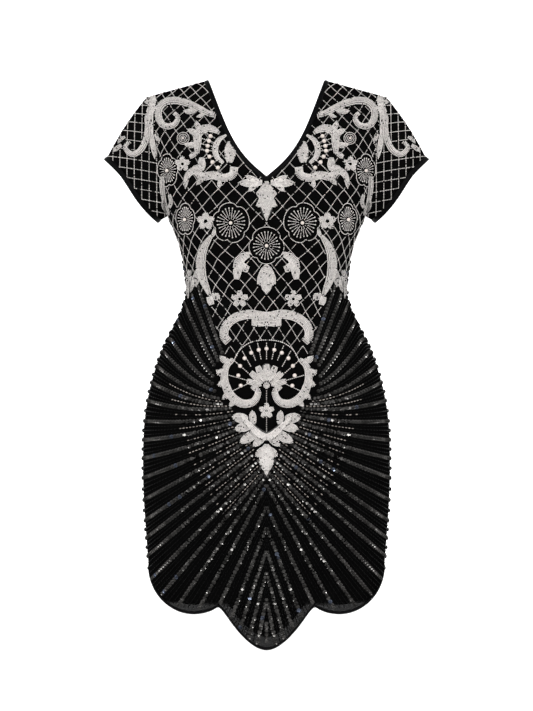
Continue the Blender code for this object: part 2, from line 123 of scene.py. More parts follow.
class DressColours(bpy.types.PropertyGroup):
    """Colours of the cloth and beads."""

    net: colour_setting("Net", "Black net", (0.0016, 0.0016, 0.0016))
    lining: colour_setting("Lining", "Lining", (0.004, 0.004, 0.004))
    satin: colour_setting("Satin", "Bindings", (0.0008, 0.0008, 0.0009))
    padding: colour_setting("Padding", "Cord and felt under the raised beads", (0.035, 0.033, 0.032))
    silver: colour_setting("Silver beads", "Warm silver glass", (0.60, 0.57, 0.548))
    smoke: colour_setting("Dark beads", "Smoky beads among them", (0.03, 0.027, 0.026))
    speck: colour_setting("Pale seeds", "Seed beads between the sequin rows", (0.32, 0.28, 0.25))
    pearl: colour_setting("Pearls", "Pearls", (0.50, 0.445, 0.41))
    sequin: colour_setting("Sequins", "Black sequins", (0.050, 0.0485, 0.0465))
    blue_sequin: colour_setting("Bluish sequins", "A few sequins among them", (0.050, 0.058, 0.078))
    jet: colour_setting("Jet beads", "Black bugles", (0.003, 0.003, 0.003))


# Where the beadwork lies, in millimetres

# Padded bands: each through a few places of its middle line. ends are its first and last widths as
# shares of the full one. paired ones are at +X, with a mirror image.
Band = namedtuple("Band", "name on width ends paired places")
BANDS = (
    Band("shoulder_scroll", "front_panel", 11, (0.7, 0.5), True,
         ((86, -60), (98, -57), (115, -48), (134, -40), (152, -36), (168, -38), (179, -47), (181, -60),
          (176, -73), (165, -79), (153, -75), (148, -64), (155, -56))),
    Band("sleeve_scroll", "sleeve_left", 9, (0.4, 0.5), True,
         ((202, -62), (200, -78), (201, -94), (206, -110), (215, -122), (227, -125), (236, -114),
          (229, -105))),
    Band("bust_shell", "front_panel", 13, (0.4, 0.5), True,
         ((80, -89), (91, -83), (105, -83), (115, -92), (115, -107), (116, -122))),
    Band("bust_scroll", "front_panel", 12, (1.0, 0.4), True,
         ((54, -147), (57, -160), (72, -165), (90, -160), (107, -163), (118, -153), (130, -158),
          (136, -178))),
    Band("waist_crescent", "front_panel", 14, (0.3, 0.3), True,
         ((90, -260), (103, -280), (109, -305), (106, -332), (94, -362))),
    Band("arch_band", "front_panel", 14, (0.9, 0.9), False,
         ((-64, -440), (-71, -430), (-67, -413), (-50, -399), (-26, -394), (0, -398),
          (26, -394), (50, -399), (67, -413), (71, -430), (64, -440))),
    Band("fan_scroll", "front_panel", 13, (0.5, 0.5), True,
         ((56, -470), (68, -484), (70, -506), (60, -530), (40, -544), (21, -540), (14, -524), (24, -515))),
)

# Leaf-shaped nodes: the middle line and width of the body's beads, and the leaflets at +X, (from, to,
# width), that have mirror images unless they lie on the centre line. A width that is a list gives the
# leaf's half widths at heights.
Leaf = namedtuple("Leaf", "name body width ends leaflets")
POINTED = (0.55, 0.15)
ROUNDED = (0.35, 0.80)
LEAVES = (
    Leaf("neck_leaf", ((0, -171), (0, -204), (0, -236)),
         ((-171, 3), (-178, 7), (-191, 16), (-199, 11), (-212, 16.5), (-215, 8), (-222, 5.5), (-236, 1)),
         POINTED, ()),
    Leaf("waist_leaf", ((0, -310), (0, -335), (0, -359)),
         ((-310, 2), (-316, 8), (-323, 11), (-332, 14), (-342, 14), (-346, 8), (-352, 6.5), (-359, 1)),
         POINTED, ()),
    Leaf("fan_leaf", ((0, -518), (0, -512), (0, -508)), 10, ROUNDED, (
        ((0, -505), (0, -479), 10), ((4, -506), (15, -482), 10), ((7, -509), (26, -492), 10),
        ((9, -513), (32, -506), 9))),
    Leaf("leaf_spray", ((-42, -562), (-28, -580), (0, -600), (28, -580), (42, -562)), 10, POINTED, (
        ((32, -570), (57, -566), 15), ((24, -580), (53, -587), 14), ((12, -590), (44, -609), 15),
        ((3, -598), (22, -615), 12), ((22, -578), (24, -556), 11))),
    Leaf("drop_leaf", ((0, -613), (0, -630), (0, -660)), 22, POINTED, (
        ((0, -619), (18, -632), 13), ((0, -634), (11, -646), 10), ((0, -640), (0, -664), 8))),
)
LEAF_ENDS = (0.35, 0.12)

# Flat beaded sprigs at +X, each with a mirror image, by the shape of their ends: (from, over, to, width).
SPRIG_ENDS = {"leaf": (0.6, 0.12), "strip": (0.8, 0.8), "hook": (0.35, 0.5)}
SPRIGS = {
    "leaf": (
        # At the shoulder's tip, along the armhole and at the sleeve's outer edge.
        ((186, -36), (193, -31), (200, -27), 8), ((187, -40), (196, -38), (205, -37), 8),
        ((188, -34), (191, -27), (190, -22), 7), ((184, -46), (192, -51), (196, -58), 7),
        ((195, -84), (192, -104), (188, -132), 8), ((188, -92), (183, -98), (180, -106), 6),
        ((172, -198), (171, -212), (163, -226), 10),
        ((238, -96), (244, -99), (249, -106), 6), ((244, -110), (250, -114), (257, -120), 7),
        # Along the shoulder scroll.
        ((118, -48), (128, -53), (139, -52), 9), ((104, -55), (110, -60), (117, -62), 6),
        # Outside and under the bust shell.
        ((110, -84), (116, -77), (118, -69), 9), ((116, -90), (124, -87), (132, -83), 9),
        ((117, -106), (128, -110), (138, -107), 9), ((109, -131), (108, -141), (105, -150), 11),
        ((104, -162), (111, -169), (117, -176), 8), ((79, -170), (79, -176), (79, -181), 7),
        # The crescent at the side of the bust.
        ((106, -150), (117, -147), (128, -153), 8), ((128, -153), (134, -163), (136, -182), 8),
        # At the neck's point.
        ((8, -172), (26, -173), (47, -173), 13), ((14, -170), (25, -166), (35, -161), 9),
        ((14, -175), (23, -180), (30, -187), 9),
        # Over the waist crescent, and lace at the sides of the waist.
        ((90, -262), (88, -256), (88, -250), 6), ((129, -320), (133, -340), (131, -366), 8),
        ((126, -330), (124, -344), (127, -356), 6),
        # Outside the lower fan.
        ((62, -474), (72, -470), (78, -464), 10), ((68, -488), (78, -492), (84, -488), 11),
        ((68, -506), (78, -512), (82, -512), 10), ((62, -526), (71, -534), (74, -536), 9),
        ((52, -538), (60, -546), (62, -549), 8),
    ),
    "strip": (
        # Down the armhole's seam.
        ((192, -40), (197, -62), (196, -88), 12), ((176, -163), (175, -183), (172, -203), 9),
        ((163, -193), (160, -204), (163, -214), 6),
        # The bust shell's last lobe.
        ((118, -122), (124, -127), (128, -129), 8),
        # The waist crescent's branch and buds, and the lower hooks beside the waist leaf.
        ((112, -318), (117, -330), (121, -346), 11), ((92, -362), (86, -364), (79, -364), 11),
        ((96, -365), (94, -371), (92, -377), 10), ((44, -309), (38, -315), (31, -318), 12),
        # The block on the arch's crown.
        ((0, -405), (12, -405), (24, -405), 17),
    ),
    "hook": (
        # The bust shell's inner crescent and cushion, and the hooks beside the waist leaf.
        ((68, -93), (80, -101), (86, -115), (83, -130), (73, -139), 9),
        ((62, -104), (61, -120), (62, -138), 17), ((27, -291), (45, -303), (50, -334), 15),
    ),
}

# Round flowers with a spoked heart: centre, radius, the share of it that the width is, whether a mirror
# image is made, and where the outline is notched, in degrees clockwise from the top.
Flower = namedtuple("Flower", "place radius squeeze paired notches")
FLOWERS = (
    Flower((60, -240), 34, 0.92, True, (-23, 49, 109, 168, 238)),
    Flower((0, -278), 31, 0.96, False, (-66, 64, 142, 218)),
    Flower((166, -152), 28, 0.64, True, (-30, 45, 120, 190, 255)),
    Flower((136, -234), 27, 0.60, True, (-40, 40, 110, 180, 250)),
)
SPOKES = 24
# How deep a notch is and how wide (radians).
NOTCH_DEPTH, NOTCH_SPREAD = 0.17, 0.16
# Where the spokes start, every other one further out, and where they end, as shares of the outline.
SPOKE_FROM, SPOKE_TO = (0.18, 0.34), 0.74

# A flower of plain rings at +X, with its mirror image.
RINGED_PLACE, RINGED_RADII = (140, -98), (4, 7, 10)

# Five-petal rosettes and stars: centre, radius and the petals' ends, each with a mirror image unless it
# is on the centre line.
ROSETTES = (
    ((45, -368), 13.3, (0.5, 0.7)), ((0, -556), 12, (0.5, 0.7)),
    ((141, -141), 13, (0.6, 0.1)), ((102, -237), 15, (0.6, 0.1)),
)
# How many petals a rosette has, where one starts and how wide it is, as shares of the radius.
PETALS = 5
PETAL_FROM, PETAL_WIDTH = 0.25, 0.66

# Pearls at +X, on fine stems: the pearl's place, and the stem's two ends. Those off the centre line have
# mirror images.
Pearl = namedtuple("Pearl", "place stem")
PEARLS = (
    Pearl((93.5, -95.2), ((106, -87), (86, -98))),
    Pearl((96, -103.3), ((109, -98), (84, -107))),
    Pearl((98.2, -111.5), ((111, -107), (84, -113))),
    Pearl((99, -119.6), ((111, -117), (85, -120))),
    Pearl((95, -129.4), ((106, -133), (82, -126))),
    Pearl((90, -138.8), ((99, -149), (80, -132))),
    Pearl((81, -147.9), ((84, -158), (74, -139))),
    Pearl((0, -452), ((0, -441), (0, -470))),
    Pearl((13, -454), ((15, -442), (9, -470))),
    Pearl((25.5, -459), ((29, -446), (18, -472))),
    Pearl((36.5, -468), ((41, -455), (26, -482))),
    Pearl((44, -481), ((54, -472), (30, -493))),
    Pearl((47, -497), ((64, -496), (32, -505))),
    Pearl((43, -514), ((60, -524), (30, -510))),
)

# Thin strings of beads at +X with mirror images: the medallion's arc, and the stem in its middle.
STRINGS = (
    ((56, -474), (45, -454), (29, -442), (14, -438), (0, -437)),
    ((0, -521), (0, -545), (0, -568), (0, -592)),
)

# The lower edge of the front's trellis: height at a distance from the centre, and the back's.
TRELLIS_EDGE = {
    "front": ((0, -437), (15, -438), (33, -444), (52, -466), (60, -486), (68, -462), (76, -444),
              (100, -370), (120, -338), (150, -330)),
    "back": ((0, -500), (50, -432), (100, -366), (120, -338), (150, -330)),
}

# Rows of sequins at +X: the outer end, the inner end, and how far the row's middle hangs below the
# straight line between them.
Row = namedtuple("Row", "outer inner sag")
ROWS = (
    Row((116, -340), (70.6, -467), 4),
    Row((128, -350), (79.8, -474), 5),
    Row((138, -372), (86, -482), 6),
    Row((150, -402), (88, -500), 8),
    Row((158, -438), (88, -512), 9),
    Row((171, -458), (84, -524), 9),
    Row((183, -481), (78, -536), 9),
    Row((194, -507), (72, -545), 9),
    Row((202, -538), (58, -551), 8),
    Row((205, -573), (52, -562), 6),
    Row((206, -605), (46, -573), 5),
    Row((207, -636), (40, -584), 4),
    Row((207, -669), (34, -594), 3),
    Row((206, -706), (29, -604), 2),
    Row((204, -741), (23, -614), 1),
    Row((203, -771), (17, -626), 0),
    Row((200, -801), (11, -638), 0),
    Row((188, -834), (7, -650), 0),
    Row((173, -862), (3, -658), 0),
    Row((149, -884), (0, -664), 2),
    Row((118, -896), (0, -680), 3),
    Row((76, -876), (0, -717), 0),
    Row((56, -896), (0, -752), 0),
    Row((41, -911), (0, -790), 0),
    Row((27, -929), (0, -827), 0),
    Row((14, -941), (0, -871), 0),
)
CENTRE_ROW = ((0, -911), (0, -947))
SILHOUETTE_ROWS = 17
# How far a row that ends at the hem is looked for past its stated end.
HEM_REACH = 0.022
BACK_APEX = -505
BACK_APEX_STEP = -9.2


# How the pieces are made, in metres

# Front and back, and where the eye is when each is looked at: 1 as the viewer, -1 behind the dress.
SIDES = {"front": 1.0, "back": -1.0}
# A point off the outer face of each sheet.
BEFORE, BEHIND = Vector((0.03, -0.3, -0.6)), Vector((0.03, 0.3, -0.6))
PANELS = {
    "front_panel": BEFORE, "back_panel": BEHIND,
    "sleeve_left": Vector((0.5, 0.0, 0.1)), "sleeve_right": Vector((-0.5, 0.0, 0.1)),
}
LININGS = {"front_lining": BEFORE, "back_lining": BEHIND}
# The size that each sheet was cut to.
CUTS = {
    "net_front_panel": (0.58, 0.99),
    "net_back_panel": (0.58, 0.99),
    "net_sleeve_left": (0.36, 0.125),
    "net_sleeve_right": (0.36, 0.125),
    "skirt_front_lining": (0.56, 0.48),
    "skirt_back_lining": (0.56, 0.48),
}
# How far a binding's satin swells, and how near to the centre plane its point lies.
BINDING_SWELL = 0.0006
CENTRE_LINE = 0.0002

# How closely the middle lines of bands, of flat or small strips and of fine strings are followed.
BAND_STEP, STRIP_STEP, STRING_STEP = 0.004, 0.002, 0.003
# The beads of a motif: how much wider than the padding they reach, and how many are missing.
FILL_WIDTH = 1.12
FILL_MISSING = 0.015
# How far a row of them is shifted and a bead turned, how deep it sits and how long it is, all at random.
FILL_SHIFT, FILL_TURN, FILL_SINK, FILL_REACH = 0.1, 0.05, (0.55, 0.75), (0.94, 1.04)
# From how high over the cloth the padding's top is looked for.
TOP_REACH = 0.02
# How many places are looked at together, how closely a wide leaf's rows are noted, and how far from a
# beaded shape the trellis stops.
CHUNK = 1000
COVER_STEP = 0.003
COVER_MARGIN = 0.0008

# Strings of beads: from one bead to the next, a bead's length and its radius.
Thread = namedtuple("Thread", "pitch length radius")
RING = Thread(0.0025, 0.0022, 0.00062)
SPOKE = Thread(0.0026, 0.0023, 0.00052)
STEM = Thread(0.0034, 0.0027, 0.00068)
FINE_STRING = Thread(0.0036, 0.0028, 0.0008)
# Half sizes of the bead that ends a spoke, and how far it is lifted.
TIP_SIZE, TIP_LIFT = (0.0012, 0.00095, 0.00095), 0.0008
# Pearls at a flower's heart and in a ring, as shares of the full radius, and how far those and the pearls
# on stems are lifted, as shares of their own.
HEART, SMALL_HEART = 0.88, 0.6
HEART_LIFT, PEARL_LIFT = 0.8, 0.85
# How much of a spoked flower and of a rosette the trellis leaves free, as a share of the radius.
FLOWER_COVER, ROSETTE_COVER = 0.96, 0.9
RING_STEPS = 121

# A sleeve's trellis: its cells' height against their width, and how fast its rows climb.
SLEEVE_TALL, SLEEVE_CLIMB = 1.3, 0.17

# In how many places a sunburst row is laid on the cloth, how closely it is followed on to the side seam,
# how much of its slope it keeps there, and a distance beside the body from which that seam is nearest.
ROW_STEPS = 81
SEAM_STEP, SEAM_SLOPE, BESIDE = 0.004, 0.5, 0.3
# From this row down, and between these distances from the centre plane, the sequins tilt every way and
# sparkle. Elsewhere they lie smooth.
SPARKLE_ROW = 6
SPARKLE_ZONE = (0.050, 0.140)
# From this row down they sparkle as far in as the centre line.
LOWER_ROW = 12
SPARKLE_TILT, SMOOTH_TILT = 0.22, 0.025
# How far a sequin is lifted off the cloth, and how much it leans along its row, as in a fallen stack.
SEQUIN_LIFT, SEQUIN_LEAN = 0.0016, 0.14
# The sequins are smaller near a row's inner end: over how long a stretch, and by how much.
TAPER_REACH, TAPER = 0.05, 0.15

# The lines of black beads between two rows: where, the least gap between the rows that has one, radius.
BLACK_LINES = ((0.5, 0.0085, 0.00095), (0.28, 0.019, 0.00065), (0.72, 0.019, 0.00065))
# A black bead's length as a share of its pitch.
BLACK_LENGTH = 0.92
# Half sizes of the round bead that ends a row or a line at the side seam, and how far each is lifted.
END_SIZE = (0.0042, 0.0027, 0.0027)
ROW_END_LIFT, LINE_END_LIFT = 0.0006, 0.0008
# The pale beads: between which rows, how far from a row's inner end they reach, how far from the centre
# plane they start, from one to the next, how many of the places are filled, half sizes and lift.
PALE_ROWS = (6, 18)
PALE_REACH = 0.100
PALE_FREE = 0.012
PALE_PITCH = 0.006
PALE_SHARE = 0.85
PALE_SIZE, PALE_LIFT = (0.0020, 0.0008, 0.0008), 0.0015

# Woven materials: the colour, threads per metre, the scale of the mottle, strength and depth of the
# relief, how dark and how light the mottle goes, roughness and specular level.
Weave = namedtuple("Weave", "colour threads mottle strength depth dark light roughness specular")
WEAVES = {
    "Black net": Weave("net", 900.0, 40.0, 0.5, 0.0003, 0.7, 1.5, 0.7, 0.0),
    "Black lining": Weave("lining", 1800.0, 25.0, 0.25, 0.0002, 0.8, 1.3, 0.6, 0.1),
    "Black satin": Weave("satin", 2400.0, 90.0, 0.3, 0.0002, 0.8, 1.4, 0.5, 0.035),
    "Padding": Weave("padding", 900.0, 400.0, 0.6, 0.0004, 0.5, 1.2, 0.7, 0.5),
}
# Where the net turns sheer, below and above the lining's hem, and how much of it is left to see there.
SHEER_BAND, SHEER_ALPHA = (-0.004, 0.002), 0.85

# Bead materials: the colour, that of a few dark ones and their share, how far single beads are darker,
# roughness, metal, coat, specular level and the brightness of the reflection at the rim.
Glass = namedtuple("Glass", "colour dark dark_share spread roughness metallic coat specular edge")
GLASSES = {
    "Silver beads": Glass("silver", "smoke", 0.03, 0.32, 0.30, 0.15, 0.0, 0.5, 1.0),
    "Trellis beads": Glass("silver", "smoke", 0.06, 0.45, 0.26, 0.25, 0.0, 0.5, 1.0),
    "Pearls": Glass("pearl", "pearl", 0.0, 0.08, 0.30, 0.0, 0.2, 0.5, 1.0),
    "Jet bugles": Glass("jet", "jet", 0.0, 0.4, 0.45, 0.0, 0.0, 0.025, 1.0),
    "Pale seeds": Glass("speck", "smoke", 0.1, 0.6, 0.3, 0.2, 0.0, 0.5, 1.0),
    "Black sequins": Glass("sequin", "blue_sequin", 0.025, 0.5, 0.24, 0.95, 0.0, 0.5, 0.2),
}
COAT_ROUGHNESS = 0.08

# The wall stands far enough behind that the dress is seen from its back too.
WALL_Y = 9.0
FLOOR_Z, FLOOR_WIDTH, WALL_HEIGHT, WALL_BEND = -1.25, 18, 7, 2.5
WORLD_LIGHT = 0.35
# Square area lights: name, place, width, power and the point that each is turned to.
LIGHTS = (
    ("key", (-2.1, -3.5, 1.9), 0.85, 185, (0, 0, -0.5)),
    ("fill", (2.2, -3.5, 1.7), 0.85, 165, (0, 0, -0.5)),
    ("wall_left", (-3.4, WALL_Y - 3.6, 0.2), 3.0, 220, (0, WALL_Y + 1.5, 0)),
    ("floor_left", (-3.4, 1.4, 0.2), 3.0, 150, (0, 5.0, -1.2)),
    ("wall_right", (3.4, WALL_Y - 3.6, 0.2), 3.0, 220, (0, WALL_Y + 1.5, 0)),
    ("floor_right", (3.4, 1.4, 0.2), 3.0, 150, (0, 5.0, -1.2)),
)


# Cloth, and lines on it


def sizes():
    return bpy.context.scene.dress_sizes


def colours():
    return bpy.context.scene.dress_colours


def deselect_all():
    if bpy.context.mode != "OBJECT":
        bpy.ops.object.mode_set(mode="OBJECT")
    for obj in bpy.context.selected_objects:
        obj.select_set(False)


def make_active(obj):
    deselect_all()
    obj.select_set(True)
    bpy.context.view_layer.objects.active = obj


def apply_modifier(obj, kind, **values):
    make_active(obj)
    modifier = obj.modifiers.new(kind.title(), kind)
    for name, value in values.items():
        setattr(modifier, name, value)
    bpy.ops.object.modifier_apply(modifier=modifier.name)


def copy_of_node(node, name):
    """The node's surface as a new object, its loose triangles merged and paired into quads."""
    obj = bpy.data.objects.new(name, NODES[node].data.copy())
    bpy.context.scene.collection.objects.link(obj)
    obj.data.materials.clear()
    make_active(obj)
    bpy.ops.object.mode_set(mode="EDIT")
    bpy.ops.mesh.select_all(action="SELECT")
    bpy.ops.mesh.remove_doubles(threshold=0.00002)
    bpy.ops.mesh.tris_convert_to_quads(face_threshold=math.radians(60), shape_threshold=math.radians(80))
    bpy.ops.object.mode_set(mode="OBJECT")
    return obj


def open_with(obj, kind, chosen):
    """Opens the mesh for editing with only the chosen faces or edges selected."""
    make_active(obj)
    bpy.ops.object.mode_set(mode="EDIT")
    bpy.ops.mesh.select_mode(type=kind)
    bpy.ops.mesh.select_all(action="DESELECT")
    bpy.ops.object.mode_set(mode="OBJECT")
    for part in obj.data.polygons if kind == "FACE" else obj.data.edges:
        part.select = chosen(part)
    bpy.ops.object.mode_set(mode="EDIT")


def keep_outer_face(obj, seed):
    """Of a wall, only the face on the seed point's side stays."""
    nearest = min(obj.data.polygons, key=lambda face: (face.center - seed).length).index
    open_with(obj, "FACE", lambda face: face.index == nearest)
    bpy.ops.mesh.faces_select_linked_flat(sharpness=math.radians(50))
    bpy.ops.mesh.select_all(action="INVERT")
    bpy.ops.mesh.delete(type="FACE")
    bpy.ops.object.mode_set(mode="OBJECT")


def crease_centre(obj):
    """Keeps the edges on the centre line sharp, so that a V keeps its point."""
    open_with(obj, "EDGE", lambda edge: all(abs(obj.data.vertices[v].co.x) < CENTRE_LINE
                                            for v in edge.vertices))
    bpy.ops.transform.edge_crease(value=1.0)
    bpy.ops.object.mode_set(mode="OBJECT")


def ride(obj, node=None):
    """Fixes a finished piece to the body. It may stand for a CAD node."""
    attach(obj, BODY)
    if node:
        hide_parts(node)


def make_sheets(seeds, prefix, material, levels):
    """A thin smooth shell on each node's outer face, which beads can be sewn to."""
    for node, seed in seeds.items():
        sheet = copy_of_node(node, f"{prefix}_{node}")
        keep_outer_face(sheet, seed)
        apply_modifier(sheet, "SUBSURF", levels=levels, render_levels=levels,
                       boundary_smooth="PRESERVE_CORNERS", use_limit_surface=False)
        SHEETS[node] = Cloth(sheet)
        apply_modifier(sheet, "SOLIDIFY", thickness=sizes().cloth, offset=-1.0)
        sheet.data.shade_smooth()
        sheet.data.materials.append(material)
        ride(sheet, node)


class Cloth:
    """One piece of cloth that beads are sewn to."""

    def __init__(self, obj):
        mesh = obj.data
        self.points = np.array([vert.co for vert in mesh.vertices])
        self.faces = [tuple(face.vertices) for face in mesh.polygons]
        self.tree = BVHTree.FromPolygons([Vector(point) for point in self.points], self.faces)

    def seen(self, place, side=1.0):
        """Where a place in the viewer's picture lies on the cloth, or None. side -1 looks from behind."""
        eye = Vector((VIEWER.x, VIEWER.y * side, VIEWER.z))
        aim = Vector((place[0], 0.0, place[1])) - eye
        return self.tree.ray_cast(eye, aim)[0]

    def nearest(self, point):
        """The nearest point of the cloth, and the way that it faces there."""
        spot, normal, _, _ = self.tree.find_nearest(Vector(point))
        return spot, normal


class Cloths:
    """Several pieces of cloth as one: the first that a place is seen on counts."""

    def __init__(self, *nodes):
        self.cloths = [SHEETS[node] for node in nodes]

    def seen(self, place):
        for cloth in self.cloths:
            spot = cloth.seen(place)
            if spot is not None:
                return spot
        return None

    def nearest(self, point):
        found = [cloth.nearest(point) for cloth in self.cloths]
        return min(found, key=lambda pair: (pair[0] - Vector(point)).length)


# Each sheet of cloth, by its node.
SHEETS = {}


def run_of(line):
    """How far along the line each of its points lies."""
    return np.concatenate([[0.0], np.cumsum(np.linalg.norm(np.diff(line, axis=0), axis=1))])


def spaced(points, count):
    """The same line as so many points, evenly spaced."""
    line = np.array([tuple(point) for point in points])
    run = run_of(line)
    at = np.linspace(0, run[-1], count)
    return np.stack([np.interp(at, run, column) for column in line.T], axis=1)


def evenly(points, step):
    """The same line with its points evenly spaced, about a step apart."""
    whole = run_of(np.array([tuple(point) for point in points]))[-1]
    return spaced(points, max(int(round(whole / step)), 1) + 1)


def smooth_line(places, step):
    """Points along a smooth curve through a few places in the picture, in metres, about a step apart."""
    knots = [Vector(place) * MM for place in places]
    knots = [knots[0] * 2 - knots[1], *knots, knots[-1] * 2 - knots[-2]]
    fine = []
    for before, start, end, after in zip(knots, knots[1:], knots[2:], knots[3:]):
        for u in np.linspace(0, 1, 12, endpoint=False):
            bend = (2 * before - 5 * start + 4 * end - after) * u**2
            turn = (3 * start - before - 3 * end + after) * u**3
            fine.append((2 * start + (end - before) * u + bend + turn) / 2)
    return evenly([*fine, knots[-2]], step)


# Beads


def finish_template(obj):
    """The shape's points and faces, listed alike in each run. The template itself goes."""
    mesh = obj.data
    points = np.array([vert.co for vert in mesh.vertices])
    faces = sorted(tuple(face.vertices) for face in mesh.polygons)
    bpy.data.objects.remove(obj)
    bpy.data.meshes.remove(mesh)
    return points, faces


@cache
def bead_shape(sides, waist=0.72):
    """A glass bead of radius 1 and length 2 along X, its ends drawn to a low point."""
    deselect_all()
    bpy.ops.mesh.primitive_cylinder_add(
        vertices=sides, radius=1, depth=2 * waist, end_fill_type="TRIFAN", rotation=(0, math.pi / 2, 0))
    obj = bpy.context.object
    bpy.ops.object.transform_apply(location=False, rotation=True, scale=False)
    for vert in obj.data.vertices:
        if math.hypot(vert.co.y, vert.co.z) < 0.5:
            vert.co.x /= waist
    return finish_template(obj)


@cache
def pearl_shape():
    """A round pearl of radius 1."""
    deselect_all()
    bpy.ops.mesh.primitive_ico_sphere_add(subdivisions=2, radius=1)
    return finish_template(bpy.context.object)


@cache
def seed_shape():
    """A seed bead of radius 1, a little flattened, its hole along X."""
    deselect_all()
    bpy.ops.mesh.primitive_uv_sphere_add(segments=6, ring_count=4, radius=1, rotation=(0, math.pi / 2, 0))
    bpy.ops.object.transform_apply(location=False, rotation=True, scale=False)
    bpy.ops.object.mode_set(mode="EDIT")
    bpy.ops.mesh.select_all(action="SELECT")
    bpy.ops.transform.resize(value=(0.8, 1, 1))
    bpy.ops.object.mode_set(mode="OBJECT")
    return finish_template(bpy.context.object)


@cache
def sequin_shape():
    """A cup sequin of radius 1 that faces +Z: a flat heart and a raised rim."""
    deselect_all()
    bpy.ops.mesh.primitive_circle_add(vertices=10, radius=1, fill_type="NGON")
    bpy.ops.object.mode_set(mode="EDIT")
    bpy.ops.mesh.select_mode(type="FACE")
    bpy.ops.mesh.select_all(action="SELECT")
    bpy.ops.mesh.inset(thickness=0.42)
    bpy.ops.transform.translate(value=(0, 0, -0.26))
    bpy.ops.object.mode_set(mode="OBJECT")
    return finish_template(bpy.context.object)


class Beads:
    """Places for copies of one shape, (at, along, out, scale): X lies along the bead, Z off the cloth."""

    def __init__(self, rows=()):
        self.rows = list(rows)

    def __add__(self, other):
        return Beads(self.rows + other.rows)

    def add(self, at, along, out, scale):
        """One bead. scale is (along, across, out)."""
        self.rows.append((tuple(at), tuple(along), tuple(out), scale))

    def sew(self, cloth, point, lift, along, scale):
        """One bead over the place of the cloth that is nearest to a point."""
        spot, normal = cloth.nearest(point)
        self.add(spot + normal * lift, along, normal, scale)

    def lay(self, cloth, spot, lift, along, scale):
        """One bead over a spot that is already on the cloth."""
        _, normal = cloth.nearest(spot)
        self.add(spot + normal * lift, along, normal, scale)

    def string(self, cloth, line, thread):
        """Beads threaded on a line that lies on the cloth."""
        stops = evenly(line, thread.pitch)
        size = (thread.length / 2, thread.radius, thread.radius)
        for start, end in zip(stops, stops[1:]):
            self.sew(cloth, (start + end) / 2, thread.radius, end - start, size)

    def mirrored(self):
        """The same beads on the other side."""
        flip = np.array((-1, 1, 1))
        return Beads((*(tuple(flip * value) for value in (at, along, out)), scale)
                     for at, along, out, scale in self.rows)

    def places(self):
        return np.array([row[0] for row in self.rows])

    def kept(self, mask):
        return Beads(row for row, kept in zip(self.rows, mask) if kept)

    def realise(self, shape):
        """All the copies' points and faces."""
        points, faces = shape
        at, along, out, scale = (np.array(column, float) for column in zip(*self.rows))
        out /= np.linalg.norm(out, axis=1, keepdims=True)
        along -= out * np.sum(along * out, axis=1, keepdims=True)
        along /= np.maximum(np.linalg.norm(along, axis=1, keepdims=True), 1e-9)
        across = np.cross(out, along)
        scaled = points[None] * scale[:, None]
        placed = (at[:, None] + scaled[..., :1] * along[:, None] + scaled[..., 1:2] * across[:, None]
                  + scaled[..., 2:] * out[:, None])
        copied = [tuple(start + corner for corner in face)
                  for start in range(0, len(at) * len(points), len(points)) for face in faces]
        return placed.reshape(-1, 3), copied


def bead_object(name, groups, material, seed, smooth=True):
    """One joined mesh of all the (beads, shape) groups, each bead with its own random shade."""
    random = np.random.default_rng(seed)
    all_points, all_faces, shades, start = [], [], [], 0
    for beads, shape in groups:
        points, faces = beads.realise(shape)
        all_points.append(points)
        all_faces += [tuple(start + corner for corner in face) for face in faces]
        start += len(points)
        shades.append(np.repeat(random.random(len(beads.rows)), len(shape[0])))
    mesh = bpy.data.meshes.new(name)
    mesh.from_pydata([tuple(point) for point in np.concatenate(all_points)], [], all_faces)
    mesh.materials.append(bead_material(material))
    if smooth:
        mesh.shade_smooth()
    obj = bpy.data.objects.new(name, mesh)
    bpy.context.scene.collection.objects.link(obj)
    shade = mesh.attributes.new("shade", "FLOAT", "POINT")
    shade.data.foreach_set("value", np.concatenate(shades).astype(np.float32))
    return obj


def sew_piece(name, groups, material, seed, smooth=True):
    """A piece of small beads, which no CAD node stands for."""
    ride(bead_object(name, groups, material, seed, smooth))


# Materials


def feed(tree, socket, value):
    """Gives a socket a link or a constant."""
    if isinstance(value, bpy.types.NodeSocket):
        tree.links.new(value, socket)
    else:
        socket.default_value = value


def add_node(tree, kind, inputs=None, **settings):
    """A shader node with its settings made and then its inputs fed."""
    node = tree.nodes.new(f"ShaderNode{kind}")
    for name, value in settings.items():
        setattr(node, name, value)
    for name, value in (inputs or {}).items():
        feed(tree, node.inputs[name], value)
    return node


def calculate(tree, operation, *values):
    return add_node(tree, "Math", dict(enumerate(values)), operation=operation).outputs[0]


def mix_colours(tree, factor, first, second, blend="MIX"):
    inputs = {"Factor": factor, "A": first, "B": second}
    return add_node(tree, "Mix", inputs, data_type="RGBA", blend_type=blend).outputs["Result"]


def object_place(tree):
    """The Object coordinates, and the three of them apart."""
    place = add_node(tree, "TexCoord").outputs["Object"]
    return place, add_node(tree, "SeparateXYZ", {0: place}).outputs


def node_group(name, inputs, outputs):
    """A shader node group: (kind, default) of what goes in, kind of what comes out, by their labels."""
    group = bpy.data.node_groups.new(name, "ShaderNodeTree")
    for label, (kind, default) in inputs.items():
        socket = group.interface.new_socket(label, in_out="INPUT", socket_type=f"NodeSocket{kind}")
        socket.default_value = default
    for label, kind in outputs.items():
        group.interface.new_socket(label, in_out="OUTPUT", socket_type=f"NodeSocket{kind}")
    return group, group.nodes.new("NodeGroupInput").outputs, group.nodes.new("NodeGroupOutput").inputs


